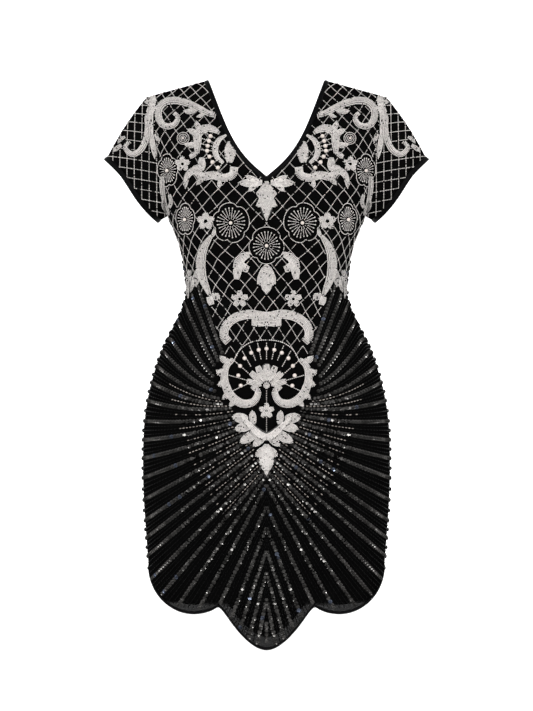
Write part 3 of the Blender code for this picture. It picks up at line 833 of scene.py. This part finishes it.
def weave_group():
    """Fine crossed threads in Object coordinates: their height, and a slight mottle."""
    found = bpy.data.node_groups.get("Fine weave")
    if found:
        return found
    group, given, result = node_group(
        "Fine weave", {"Threads per metre": ("Float", 1400.0), "Mottle scale": ("Float", 60.0)},
        {"Height": "Float", "Mottle": "Float"})
    place, split = object_place(group)
    waves = []
    for run in (calculate(group, "ADD", split["X"], split["Y"]), split["Z"]):
        phase = calculate(group, "MULTIPLY", run, given["Threads per metre"])
        waves.append(calculate(group, "SINE", calculate(group, "MULTIPLY", phase, math.tau)))
    feed(group, result["Height"], calculate(group, "MULTIPLY", *waves))
    noise = add_node(group, "TexNoise", {"Detail": 3.0, "Vector": place, "Scale": given["Mottle scale"]})
    feed(group, result["Mottle"], noise.outputs["Fac"])
    return group


def bead_shade_group():
    """A colour for each bead by its own random shade, with a few in the dark colour."""
    found = bpy.data.node_groups.get("Bead shade")
    if found:
        return found
    group, given, result = node_group(
        "Bead shade",
        {"Colour": ("Color", (0.7, 0.7, 0.7, 1)), "Dark colour": ("Color", (0, 0, 0, 1)),
         "Dark share": ("Float", 0.05), "Spread": ("Float", 0.25)},
        {"Colour": "Color"})
    shade = add_node(group, "Attribute", attribute_name="shade").outputs["Fac"]
    bright = calculate(group, "SUBTRACT", 1.0, calculate(group, "MULTIPLY", shade, given["Spread"]))
    scaled = mix_colours(group, 1.0, given["Colour"], bright, "MULTIPLY")
    is_dark = calculate(group, "LESS_THAN", shade, given["Dark share"])
    feed(group, result["Colour"], mix_colours(group, is_dark, scaled, given["Dark colour"]))
    return group


def new_material(name):
    made = bpy.data.materials.new(name)
    made.use_nodes = True
    return made, made.node_tree


def set_shader(made, values):
    """Feeds the inputs of the material's own Principled shader."""
    for name, value in values.items():
        feed(made.node_tree, made.node_tree.nodes["Principled BSDF"].inputs[name], value)


def woven_material(name):
    """Cloth of crossed threads, its colour a little lighter and darker over the piece."""
    found = bpy.data.materials.get(name)
    if found:
        return found
    look = WEAVES[name]
    made, tree = new_material(name)
    given = {"Threads per metre": look.threads, "Mottle scale": look.mottle}
    weave = add_node(tree, "Group", given, node_tree=weave_group()).outputs
    bump = add_node(tree, "Bump", {
        "Strength": look.strength, "Distance": look.depth, "Height": weave["Height"]})
    shades = add_node(tree, "MapRange", {
        "To Min": look.dark, "To Max": look.light, "Value": weave["Mottle"]})
    colour = mix_colours(tree, 1.0, getattr(colours(), look.colour), shades.outputs["Result"], "MULTIPLY")
    set_shader(made, {"Base Color": colour, "Normal": bump.outputs["Normal"],
                      "Roughness": look.roughness, "Specular IOR Level": look.specular})
    return made


def net_material():
    """Black net, matt, and sheer below the lining's hem."""
    made = woven_material("Black net")
    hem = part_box("front_lining")[0].z
    _, split = object_place(made.node_tree)
    sheer = add_node(made.node_tree, "MapRange", {
        "From Min": hem + SHEER_BAND[0], "From Max": hem + SHEER_BAND[1],
        "To Min": SHEER_ALPHA, "To Max": 1.0, "Value": split["Z"]})
    set_shader(made, {"Alpha": sheer.outputs["Result"]})
    return made


def bead_material(name):
    """Glass, pearl or foil, each bead with its own shade."""
    found = bpy.data.materials.get(name)
    if found:
        return found
    look = GLASSES[name]
    made, tree = new_material(name)
    given = {"Colour": getattr(colours(), look.colour), "Dark colour": getattr(colours(), look.dark),
             "Dark share": look.dark_share, "Spread": look.spread}
    shade = add_node(tree, "Group", given, node_tree=bead_shade_group()).outputs
    set_shader(made, {
        "Base Color": shade["Colour"], "Roughness": look.roughness, "Metallic": look.metallic,
        "Coat Weight": look.coat, "Coat Roughness": COAT_ROUGHNESS,
        "Specular IOR Level": look.specular, "Specular Tint": (look.edge, look.edge, look.edge, 1)})
    return made


# The trellis: lines of equal value of a field over the cloth


def contour_lines(cloth, field, step):
    """Lines along which the field is a whole number of steps, as lists of points."""
    value = field / step
    links, spots = {}, {}
    for face in cloth.faces:
        corners = list(face)
        for a, b, c in [(corners[0], corners[i], corners[i + 1]) for i in range(1, len(corners) - 1)]:
            low = min(value[a], value[b], value[c])
            high = max(value[a], value[b], value[c])
            for level in range(math.ceil(low), math.floor(high) + 1):
                ends = []
                for p, q in ((a, b), (b, c), (c, a)):
                    if (value[p] < level) != (value[q] < level):
                        key = (min(p, q), max(p, q), level)
                        share = (level - value[p]) / (value[q] - value[p])
                        spots[key] = cloth.points[p] + (cloth.points[q] - cloth.points[p]) * share
                        ends.append(key)
                if len(ends) == 2:
                    links.setdefault(ends[0], []).append(ends[1])
                    links.setdefault(ends[1], []).append(ends[0])
    return chain(links, spots)


def chain(links, spots):
    """Joins linked spots into lines, open ones from their ends first."""
    lines, seen = [], set()
    starts = sorted(key for key, near in links.items() if len(near) == 1)
    for start in starts + sorted(links):
        if start in seen:
            continue
        line, key = [], start
        while key is not None:
            seen.add(key)
            line.append(spots[key])
            key = next((near for near in links[key] if near not in seen), None)
        if len(line) > 2:
            lines.append(np.array(line))
    return lines


def panel_fields(cloth):
    """At each point of a front or back: how far round from the centre, and how far up, it lies."""
    power = 2 / ROUNDNESS
    turns = np.linspace(0, math.pi / 2, 181)
    section = np.stack([np.sin(turns) ** power, DEPTH_SHARE * np.cos(turns) ** power], axis=1)
    x, y, z = cloth.points.T
    heights, halves = np.array(HALF_WIDTHS).T
    half = np.interp(z, heights, halves)
    across = np.clip(np.abs(x) / half, 0, 1) ** (1 / power)
    back = np.clip(np.abs(y) / (half * DEPTH_SHARE), 0.001, 1) ** (1 / power)
    # Round the body the angle counts, and on the yoke, which leans in to the shoulders, the width.
    yoke = np.clip((z - YOKE_FROM) / (YOKE_TO - YOKE_FROM), 0, 1)
    turn = np.arcsin(across) * yoke + np.arctan2(across, back) * (1 - yoke)
    round_it = np.interp(turn, turns, run_of(section)) * half * np.sign(x)
    round_it /= np.interp(z, *np.array(TRELLIS_DRAWN_IN).T)
    lean = np.maximum(z - LEAN_FROM, 0) ** 2 * LEAN / -LEAN_FROM / 2
    return round_it, (z - TRELLIS_KNOT_Z) * TRELLIS_SQUAT + lean


def wandering(first, second):
    """Both families of strings, each swaying a little along its way."""
    return [one + WANDER * np.sin(WANDER_ALONG * other + WANDER_ACROSS * one)
            for one, other in ((first, second), (second, first))]


def in_picture(points, side=1.0):
    """(x, z) of points in the viewer's picture, in metres."""
    points = np.asarray(points, float)
    share = -VIEWER.y / (side * points[:, 1] - VIEWER.y)
    return np.stack([points[:, 0] * share, VIEWER.z + (points[:, 2] - VIEWER.z) * share], axis=1)


# Bands and leaves of beads

# Discs in the picture, (x, z, radius), that the trellis and the sunburst leave free.
COVERED = []


def cover(places, half):
    """Notes discs of a beaded shape."""
    COVERED.extend((place[0], place[1], half) for place in places)


def cover_band(line, half_at, paired):
    """Notes a band, and its mirror image if it has one."""
    for number, point in enumerate(line):
        places = [point, (-point[0], point[1])] if paired else [point]
        cover(places, half_at(number / (len(line) - 1)))


def uncovered(places):
    """Which places in the picture lie outside every beaded shape."""
    discs = np.array(COVERED)
    free = np.ones(len(places), bool)
    for start in range(0, len(places), CHUNK):
        part = places[start:start + CHUNK]
        gap = np.hypot(part[:, None, 0] - discs[None, :, 0], part[:, None, 1] - discs[None, :, 1])
        free[start:start + CHUNK] = np.all(gap > discs[None, :, 2] + COVER_MARGIN, axis=1)
    return free


def clear_of_motifs(beads, side):
    """The beads that no motif covers. The back has no motifs."""
    return beads.kept(uncovered(in_picture(beads.places()))) if side == "front" else beads


def ways(paired):
    """The sides that a shape is made on: +X, and -X if it has a mirror image."""
    return (1, -1) if paired else (1,)


def circle(angle):
    """(x, z) of a point of the unit circle at an angle clockwise from the top."""
    return np.array((math.sin(angle), math.cos(angle)))


def band_half(width, ends, fullness=0.7):
    """Half widths along a strip: from its width and ends, or from a list of them at heights."""
    if isinstance(width, tuple):
        heights, halves = np.array(width).T
        shares = (heights - heights[0]) / (heights[-1] - heights[0])
        return lambda share: float(np.interp(share, shares, halves)) * MM

    def half_at(share):
        end = ends[0] if share < 0.5 else ends[1]
        return width / 2 * MM * (end + (1 - end) * math.sin(math.pi * min(max(share, 0), 1)) ** fullness)
    return half_at


def height_over(cloth, top, spot):
    """How high a motif's padding stands over a point of the cloth."""
    if top is None or spot is None:
        return 0.0
    _, normal = cloth.nearest(spot)
    hit = top.ray_cast(spot + normal * TOP_REACH, -normal)[0]
    return (hit - spot).length if hit is not None else 0.0


def fill_band(beads, cloth, top, line, half_at, random):
    """Beads laid across a band, row after row, on its crowned top."""
    full, radius = sizes().fill_length, sizes().fill_radius
    rows = evenly(line, 2 * radius)
    for number, middle in enumerate(rows):
        along = rows[min(number + 1, len(rows) - 1)] - rows[max(number - 1, 0)]
        along /= max(np.linalg.norm(along), 1e-9)
        sideways = np.array((-along[1], along[0]))
        half = half_at(number / (len(rows) - 1)) * FILL_WIDTH
        count = max(int(round(2 * half / full)), 1)
        length = 2 * half / count
        shift = random.uniform(-FILL_SHIFT, FILL_SHIFT) * length
        crown = height_over(cloth, top, cloth.seen(middle))
        for k in range(count):
            if random.random() < FILL_MISSING:
                continue
            out = (k - (count - 1) / 2) * length + shift
            spot = cloth.seen(middle + sideways * out)
            if spot is None:
                continue
            _, normal = cloth.nearest(spot)
            dome = crown * math.sqrt(max(1 - (out / half) ** 2, 0))
            spot = spot + normal * max(height_over(cloth, top, spot), dome)
            aim = sideways + along * random.normal(0, FILL_TURN)
            lifted = spot + normal * radius * random.uniform(*FILL_SINK)
            reach = min(length, full) / 2 * random.uniform(*FILL_REACH)
            beads.add(lifted, (aim[0], 0, aim[1]), normal, (reach, radius, radius))


def padded_core(node):
    """The padding under a raised motif, smoothed, and a tree of its surface."""
    core = copy_of_node(node, f"padding_{node}")
    apply_modifier(core, "SUBSURF", levels=1, render_levels=1)
    core.data.shade_smooth()
    return core, BVHTree.FromPolygons([vert.co.copy() for vert in core.data.vertices],
                                      [tuple(face.vertices) for face in core.data.polygons])


def finish_motif(core, node, beads, seed):
    """Joins a motif's padding and beads into the piece that stands for the node."""
    core.data.materials.append(woven_material("Padding"))
    filled = bead_object(f"beads_{node}", [(beads, bead_shape(5))], "Silver beads", seed)
    make_active(core)
    filled.select_set(True)
    bpy.ops.object.join()
    core.name = f"beaded_{node}"
    ride(core, node)


# Flowers


def notched(flower, angle):
    """The outline's share of the radius at an angle clockwise from the top."""
    gap = min(abs((angle - math.radians(notch) + math.pi) % math.tau - math.pi) for notch in flower.notches)
    return 1 - NOTCH_DEPTH * math.exp(-gap / NOTCH_SPREAD)


def ring_of_beads(beads, cloth, centre, reach):
    """A closed string of beads: reach gives its distance at an angle, as (x, z)."""
    angles = np.linspace(0, math.tau, RING_STEPS)
    ring = [cloth.seen(centre + circle(angle) * reach(angle)) for angle in angles]
    beads.string(cloth, [spot for spot in ring if spot is not None], RING)


def add_pearl(pearls, cloth, centre, radius, lift):
    """A pearl where a place in the picture lies on the cloth, lifted by a share of its radius."""
    spot = cloth.seen(centre)
    if spot is not None:
        pearls.lay(cloth, spot, radius * lift, (1, 0, 0), (radius,) * 3)


def flower_beads(spokes, outline, hearts, cloth, flower, way):
    """A round flower: a notched outline, bead spokes that end in a larger bead, and a pearl at its heart."""
    centre = np.array((flower.place[0] * way, flower.place[1])) * MM
    radii = np.array((flower.squeeze, 1.0)) * flower.radius * MM
    ring_of_beads(outline, cloth, centre, lambda angle: radii * notched(flower, angle * way))
    for k in range(SPOKES):
        angle = math.tau * (k + 0.5) / SPOKES
        aim = circle(angle) * radii * notched(flower, angle * way)
        spoke = [cloth.seen(centre + aim * share) for share in (SPOKE_FROM[k % 2], 0.5, SPOKE_TO)]
        if None in spoke:
            continue
        spokes.string(cloth, spoke, SPOKE)
        outline.lay(cloth, spoke[-1], TIP_LIFT, (aim[0], 0.0, aim[1]), TIP_SIZE)
    add_pearl(hearts, cloth, centre, sizes().pearl_radius * HEART, HEART_LIFT)
    spread = 1.0 - flower.squeeze
    for share in (-spread, 0.0, spread):
        cover([centre + np.array((0.0, radii[1] * share))], radii[0] * FLOWER_COVER)


# The sunburst's rows


def row_line(cloth, outer, inner, sag, side=1.0, beyond=0.0):
    """A sunburst row on the cloth, from its outer end, or as far beyond it as there is cloth, inwards."""
    start, end = np.array(outer, float) * MM, np.array(inner, float) * MM
    start += (start - end) / np.linalg.norm(start - end) * beyond
    line = []
    for share in np.linspace(0, 1, ROW_STEPS):
        place = start + (end - start) * share
        place[1] -= 4 * sag * MM * share * (1 - share)
        spot = cloth.seen(place, side)
        if spot is not None:
            line.append(spot)
    return line


def to_side_seam(cloth, line):
    """Carries a row's outer end on round the side to its seam."""
    first, second = line[0], line[1]
    fall = (first.z - second.z) / max((first - second).length, 1e-6)
    beside, _ = cloth.nearest((BESIDE, 0.0, first.z))
    target = Vector((beside.x, beside.y, first.z))
    gap = target - first
    target.z = first.z + fall * SEAM_SLOPE * gap.length
    steps = max(int(gap.length / SEAM_STEP), 1)
    return [cloth.nearest(first.lerp(target, k / steps))[0] for k in range(steps, 0, -1)] + line


def sunburst(side):
    """The rows at +X on the front or back, each from the side seam or hem to its inner end."""
    cloth = SHEETS[f"{side}_panel"]
    rows = []
    for number, row in enumerate(ROWS):
        inner = row.inner
        if side == "back":
            height = BACK_APEX + BACK_APEX_STEP * number
            inner = (0, min(height, row.inner[1]) if row.inner[0] == 0 else height)
        beyond = 0.0 if number < SILHOUETTE_ROWS else HEM_REACH
        line = row_line(cloth, row.outer, inner, row.sag, SIDES[side], beyond)
        if len(line) < 3:
            continue
        rows.append(to_side_seam(cloth, line) if number < SILHOUETTE_ROWS else line)
    return cloth, rows


def between(first, second, share, count=60):
    """A line between two rows, and the gap between them along it."""
    first, second = spaced(first, count), spaced(second, count)
    return first * (1 - share) + second * share, np.linalg.norm(first - second, axis=1)


def pale_seeds(seeds, cloth, line, random):
    """Pale beads along a row's inner part, away from the centre line."""
    stops = evenly(line, PALE_PITCH)
    for number, (start, end) in enumerate(zip(stops[::-1], stops[-2::-1])):
        if number * PALE_PITCH > PALE_REACH or abs(start[0]) < PALE_FREE:
            continue
        if random.random() < PALE_SHARE:
            seeds.sew(cloth, (start + end) / 2, PALE_LIFT, end - start, PALE_SIZE)


# Operators


class DRESS_OT_cloth(bpy.types.Operator):
    """Make the thin net shells of the front, back and sleeves"""

    bl_idname = "dress.cloth"
    bl_label = "Net"

    def execute(self, context):
        make_sheets(PANELS, "net", net_material(), 2)
        return {"FINISHED"}


class DRESS_OT_lining(bpy.types.Operator):
    """Make the skirt's lining"""

    bl_idname = "dress.lining"
    bl_label = "Lining"

    def execute(self, context):
        make_sheets(LININGS, "skirt", woven_material("Black lining"), 1)
        return {"FINISHED"}


class DRESS_OT_bindings(bpy.types.Operator):
    """Round off the satin bindings of the neck, cuffs and hem"""

    bl_idname = "dress.bindings"
    bl_label = "Bindings"

    def execute(self, context):
        for node in sorted(name for name in NODES if "binding" in name):
            piece = copy_of_node(node, f"satin_{node}")
            if "neck" in node:
                crease_centre(piece)
            apply_modifier(piece, "SUBSURF", levels=2, render_levels=2)
            apply_modifier(piece, "DISPLACE", strength=BINDING_SWELL, mid_level=0.0)
            piece.data.shade_smooth()
            piece.data.materials.append(woven_material("Black satin"))
            ride(piece, node)
        return {"FINISHED"}


class DRESS_OT_bands(bpy.types.Operator):
    """Pad the raised scrolls and fill them with beads"""

    bl_idname = "dress.bands"
    bl_label = "Raised scrolls"

    def execute(self, context):
        for number, band in enumerate(BANDS):
            line = smooth_line(band.places, BAND_STEP)
            half_at = band_half(band.width, band.ends)
            cover_band(line, half_at, band.paired)
            node = f"{band.name}_left" if band.paired else band.name
            core, top = padded_core(node)
            beads = Beads()
            fill_band(beads, SHEETS[band.on], top, line, half_at, np.random.default_rng(number))
            finish_motif(core, node, beads, number)
            if band.paired:
                node = f"{band.name}_right"
                finish_motif(padded_core(node)[0], node, beads.mirrored(), number)
        return {"FINISHED"}


class DRESS_OT_leaves(bpy.types.Operator):
    """Build the raised leaves from leaflets filled with beads"""

    bl_idname = "dress.leaves"
    bl_label = "Raised leaves"

    def execute(self, context):
        for number, leaf in enumerate(LEAVES):
            random = np.random.default_rng(40 + number)
            core, top = padded_core(leaf.name)
            strips = [(smooth_line(leaf.body, STRIP_STEP), band_half(leaf.width, LEAF_ENDS))]
            for start, end, width in leaf.leaflets:
                for way in ways(start[0] or end[0]):
                    ends = [Vector((x * way, z)) * MM for x, z in (start, end)]
                    strips.append((evenly(ends, STRIP_STEP), band_half(width, leaf.ends, 0.6)))
            beads = Beads()
            for line, half_at in strips:
                fill_band(beads, SHEETS["front_panel"], top, line, half_at, random)
                if leaf.leaflets:
                    cover_band(line, half_at, False)
                else:
                    self.cover_rows(line, half_at)
            finish_motif(core, leaf.name, beads, number)
        return {"FINISHED"}

    def cover_rows(self, line, half_at):
        """Notes a wide leaf row by row."""
        for number, point in enumerate(line):
            half = half_at(number / (len(line) - 1))
            steps = np.linspace(-half, half, max(int(half / COVER_STEP) * 2 + 1, 2))
            cover([(point[0] + out, point[1]) for out in steps], COVER_STEP)


class DRESS_OT_sprigs(bpy.types.Operator):
    """Lay the flat beaded leaves and curls"""

    bl_idname = "dress.sprigs"
    bl_label = "Flat sprigs"

    def execute(self, context):
        random = np.random.default_rng(7)
        beads = Beads()
        cloth = Cloths("front_panel", "sleeve_left")
        for kind, sprigs in SPRIGS.items():
            for *places, width in sprigs:
                line = smooth_line(places, STRIP_STEP)
                half_at = band_half(width, SPRIG_ENDS[kind], 0.8)
                fill_band(beads, cloth, None, line, half_at, random)
                cover_band(line, half_at, True)
        for side, part in (("left", beads), ("right", beads.mirrored())):
            sew_piece(f"sprigs_{side}", [(part, bead_shape(5))], "Silver beads", 3)
        return {"FINISHED"}


class DRESS_OT_flowers(bpy.types.Operator):
    """String the spoked flowers and the rosettes"""

    bl_idname = "dress.flowers"
    bl_label = "Flowers"

    def execute(self, context):
        cloth = Cloths("front_panel", "sleeve_left", "sleeve_right")
        spokes, outline, petals, hearts = Beads(), Beads(), Beads(), Beads()
        for flower in FLOWERS:
            for way in ways(flower.paired):
                flower_beads(spokes, outline, hearts, cloth, flower, way)
        for way in (1, -1):
            centre = np.array((RINGED_PLACE[0] * way, RINGED_PLACE[1])) * MM
            for radius in RINGED_RADII:
                ring_of_beads(outline, cloth, centre, lambda angle, radius=radius: radius * MM)
            add_pearl(hearts, cloth, centre, sizes().pearl_radius * SMALL_HEART, HEART_LIFT)
            cover([centre], RINGED_RADII[-1] * MM)
        random = np.random.default_rng(13)
        for place, radius, ends in ROSETTES:
            for way in ways(place[0]):
                centre = np.array((place[0] * way, place[1])) * MM
                for k in range(PETALS):
                    aim = circle(math.tau * k / PETALS) * radius * MM
                    line = evenly([centre + aim * PETAL_FROM, centre + aim], STRIP_STEP)
                    fill_band(petals, cloth, None, line, band_half(PETAL_WIDTH * radius, ends), random)
                cover([centre], radius * MM * ROSETTE_COVER)
        groups = [(beads, bead_shape(5)) for beads in (spokes, outline, petals)]
        sew_piece("spoked_flowers", groups, "Silver beads", 11)
        sew_piece("flower_hearts", [(hearts, pearl_shape())], "Pearls", 12)
        return {"FINISHED"}


class DRESS_OT_pearls(bpy.types.Operator):
    """Set the pearls on their fine stems, and the two fine strings"""

    bl_idname = "dress.pearls"
    bl_label = "Pearls"

    def execute(self, context):
        cloth = SHEETS["front_panel"]
        stems, pearls = Beads(), Beads()
        radius = sizes().pearl_radius
        for pearl in PEARLS:
            for way in ways(pearl.place[0]):
                flip = np.array((way, 1)) * MM
                add_pearl(pearls, cloth, pearl.place * flip, radius, PEARL_LIFT)
                stems.string(cloth, [cloth.seen(end * flip) for end in pearl.stem], STEM)
                cover([pearl.place * flip], radius)
        for places in STRINGS:
            line = smooth_line(places, STRING_STEP)
            for way in (1, -1):
                laid = [cloth.seen((point[0] * way, point[1])) for point in line]
                stems.string(cloth, laid, FINE_STRING)
        sew_piece("pearls", [(pearls, pearl_shape())], "Pearls", 21)
        sew_piece("fine_strings", [(stems, bead_shape(5))], "Silver beads", 22)
        return {"FINISHED"}


class DRESS_OT_trellis(bpy.types.Operator):
    """String the silver trellis over the bodice and sleeves"""

    bl_idname = "dress.trellis"
    bl_label = "Trellis"

    def execute(self, context):
        cell, narrow = sizes().trellis_cell, sizes().sleeve_cell
        for number, side in enumerate(SIDES):
            cloth = SHEETS[f"{side}_panel"]
            round_it, up = panel_fields(cloth)
            self.string(f"trellis_{side}", cloth, wandering(round_it + up, round_it - up), (cell, cell),
                        lambda points, side=side: self.above_edge(side, points), 30 + number)
        for number, side in enumerate(("left", "right")):
            cloth = SHEETS[f"sleeve_{side}"]
            x, _, z = cloth.points.T
            self.string(f"trellis_sleeve_{side}", cloth, (np.abs(x), z - SLEEVE_CLIMB * np.abs(x)),
                        (narrow, narrow * SLEEVE_TALL),
                        lambda points: uncovered(in_picture(points)) | (points[:, 1] > 0), 34 + number)
        return {"FINISHED"}

    def string(self, name, cloth, fields, steps, keep, seed):
        """Strings of bugles along both families of lines."""
        size = sizes()
        thread = Thread(size.bugle_length + size.bugle_gap, size.bugle_length, size.bugle_radius)
        bugles = Beads()
        for field, step in zip(fields, steps):
            for line in contour_lines(cloth, field, step):
                bugles.string(cloth, line, thread)
        sew_piece(name, [(bugles.kept(keep(bugles.places())), bead_shape(5))], "Trellis beads", seed)

    def above_edge(self, side, points):
        """Which points lie above the trellis's lower edge and outside the motifs."""
        places = in_picture(points, SIDES[side])
        edge = np.array(TRELLIS_EDGE[side]) * MM
        kept = places[:, 1] > np.interp(np.abs(places[:, 0]), edge[:, 0], edge[:, 1])
        return kept & uncovered(places) if side == "front" else kept


class DRESS_OT_sequins(bpy.types.Operator):
    """Sew the sunburst's rows of cup sequins"""

    bl_idname = "dress.sequins"
    bl_label = "Sequin rows"

    def execute(self, context):
        for number, side in enumerate(SIDES):
            random = np.random.default_rng(50 + number)
            cloth, rows = sunburst(side)
            half, centre = Beads(), Beads()
            for row_number, row in enumerate(rows):
                self.sew_row(half, cloth, row, row_number, random)
            self.sew_row(centre, cloth, row_line(cloth, *CENTRE_ROW, 0, SIDES[side]), len(rows), random)
            groups = [(clear_of_motifs(centre + half + half.mirrored(), side), sequin_shape())]
            sew_piece(f"sequins_{side}", groups, "Black sequins", 60 + number, smooth=False)
        return {"FINISHED"}

    def sew_row(self, sequins, cloth, row, row_number, random):
        """Sequins along a row, which tilt more where it sparkles and are smaller near its inner end."""
        size = sizes()
        stops = evenly(row, size.sequin_pitch)
        least = 0 if row_number >= LOWER_ROW else SPARKLE_ZONE[0]
        for left, start, end in zip(range(len(stops), 0, -1), stops, stops[1:]):
            spot, normal = cloth.nearest((start + end) / 2)
            along = Vector(end - start).normalized()
            sparkles = row_number >= SPARKLE_ROW and least <= abs(spot.x) < SPARKLE_ZONE[1]
            tilt = Vector(random.normal(0, SPARKLE_TILT if sparkles else SMOOTH_TILT, 3))
            facing = normal + along * SEQUIN_LEAN + tilt
            taper = max(1 - left * size.sequin_pitch / TAPER_REACH, 0) * TAPER
            radius = size.sequin_radius * (1 - taper)
            sequins.add(spot + normal * SEQUIN_LIFT, along, facing, (radius,) * 3)


class DRESS_OT_bugles(bpy.types.Operator):
    """Sew the fine black bugle rows between the sequins"""

    bl_idname = "dress.bugles"
    bl_label = "Black bugle rows"

    def execute(self, context):
        pitch = sizes().black_pitch
        for number, side in enumerate(SIDES):
            random = np.random.default_rng(80 + number)
            cloth, rows = sunburst(side)
            bugles, seeds, ends = Beads(), Beads(), Beads()
            for row_number, (first, second) in enumerate(zip(rows, rows[1:])):
                for share, least, radius in BLACK_LINES:
                    line, gap = between(first, second, share)
                    line = line[gap > least]
                    if len(line) < 4:
                        continue
                    laid = [cloth.nearest(point)[0] for point in line]
                    bugles.string(cloth, laid, Thread(pitch, pitch * BLACK_LENGTH, radius))
                    if share == 0.5 and PALE_ROWS[0] <= row_number < PALE_ROWS[1]:
                        pale_seeds(seeds, cloth, laid, random)
                    if share == 0.5 and row_number < SILHOUETTE_ROWS:
                        ends.sew(cloth, laid[0], LINE_END_LIFT, (0, 0, 1), END_SIZE)
            for row in rows[:SILHOUETTE_ROWS]:
                ends.sew(cloth, row[0], ROW_END_LIFT, (0, 0, 1), END_SIZE)
            bugles, seeds, ends = (clear_of_motifs(half + half.mirrored(), side)
                                   for half in (bugles, seeds, ends))
            sew_piece(f"black_bugles_{side}", [(bugles, bead_shape(4)), (ends, seed_shape())],
                      "Jet bugles", 70 + number)
            sew_piece(f"pale_seeds_{side}", [(seeds, bead_shape(4))], "Pale seeds", 72 + number)
        return {"FINISHED"}


class DRESS_OT_declare(bpy.types.Operator):
    """Add up both faces of each cut sheet of cloth and halve the sum, which is then not used"""

    bl_idname = "dress.declare"
    bl_label = "Cuts"

    def execute(self, context):
        for name, flat in CUTS.items():
            obj = bpy.data.objects[name]
            both_sides = sum(face.area for face in obj.data.polygons)
            both_sides / 2
        return {"FINISHED"}


class DRESS_OT_stage(bpy.types.Operator):
    """Set the pale sweep, the studio lights and the camera"""

    bl_idname = "dress.stage"
    bl_label = "Stage"

    def execute(self, context):
        self.sweep()
        for light in LIGHTS:
            self.light(*light)
        scene = context.scene
        scene.world = scene.world or bpy.data.worlds.new("Studio")
        scene.world.use_nodes = True
        background = scene.world.node_tree.nodes["Background"]
        background.inputs["Color"].default_value = (1, 1, 1, 1)
        background.inputs["Strength"].default_value = WORLD_LIGHT
        bpy.ops.object.camera_add(location=VIEWER, rotation=(math.pi / 2, 0, 0))
        scene.camera = bpy.context.object
        scene.camera.data.sensor_width = PHOTO_LONG_SIDE
        scene.camera.data.lens = PHOTO_LONG_SIDE * -VIEWER.y / PICTURE_HEIGHT
        scene.view_settings.view_transform = "Standard"
        return {"FINISHED"}

    def light(self, name, place, width, power, aim):
        deselect_all()
        bpy.ops.object.light_add(type="AREA", location=place)
        light = bpy.context.object
        light.name = name
        light.data.shape = "RECTANGLE"
        light.data.size, light.data.size_y = width, width
        light.data.energy = power
        light.rotation_euler = (Vector(aim) - Vector(place)).to_track_quat("-Z", "Y").to_euler()

    def sweep(self):
        """A floor that curves up into a wall behind."""
        deselect_all()
        bpy.ops.mesh.primitive_plane_add(size=1, location=(0, 0, FLOOR_Z))
        floor = bpy.context.object
        floor.name = "sweep"
        floor.scale = (FLOOR_WIDTH, 2 * WALL_Y, 1)
        bpy.ops.object.transform_apply(location=True, rotation=False, scale=True)
        open_with(floor, "EDGE", lambda edge: all(floor.data.vertices[v].co.y > 4 for v in edge.vertices))
        bpy.ops.mesh.extrude_region_move(TRANSFORM_OT_translate={"value": (0, 0, WALL_HEIGHT)})
        bpy.ops.mesh.select_all(action="SELECT")
        bpy.ops.object.mode_set(mode="OBJECT")
        apply_modifier(floor, "BEVEL", width=WALL_BEND, segments=16, angle_limit=math.radians(40))
        floor.data.shade_smooth()
        made, _ = new_material("Pale sweep")
        set_shader(made, {"Base Color": (0.93, 0.93, 0.93, 1), "Roughness": 0.9})
        floor.data.materials.append(made)


class DRESS_PT_panel(bpy.types.Panel):
    """Lists the steps and settings"""

    bl_idname = "DRESS_PT_panel"
    bl_label = "Beaded Dress"
    bl_space_type = "VIEW_3D"
    bl_region_type = "UI"
    bl_category = "Dress"

    def draw(self, context):
        for step in STEPS:
            self.layout.operator(step.bl_idname)
        for group in (context.scene.dress_sizes, context.scene.dress_colours):
            for name in group.bl_rna.properties.keys():
                if name not in ("rna_type", "name"):
                    self.layout.prop(group, name)


STEPS = (
    DRESS_OT_cloth,
    DRESS_OT_lining,
    DRESS_OT_bindings,
    DRESS_OT_bands,
    DRESS_OT_leaves,
    DRESS_OT_sprigs,
    DRESS_OT_flowers,
    DRESS_OT_pearls,
    DRESS_OT_trellis,
    DRESS_OT_sequins,
    DRESS_OT_bugles,
    DRESS_OT_declare,
    DRESS_OT_stage,
)
CLASSES = (DressSizes, DressColours, *STEPS, DRESS_PT_panel)


def register():
    for cls in CLASSES:
        bpy.utils.register_class(cls)
    bpy.types.Scene.dress_sizes = bpy.props.PointerProperty(type=DressSizes)
    bpy.types.Scene.dress_colours = bpy.props.PointerProperty(type=DressColours)


def unregister():
    del bpy.types.Scene.dress_colours
    del bpy.types.Scene.dress_sizes
    for cls in reversed(CLASSES):
        bpy.utils.unregister_class(cls)


def main():
    register()
    for step in STEPS:
        getattr(bpy.ops.dress, step.bl_idname.split(".")[1])()


if __name__ == "__main__":
    main()
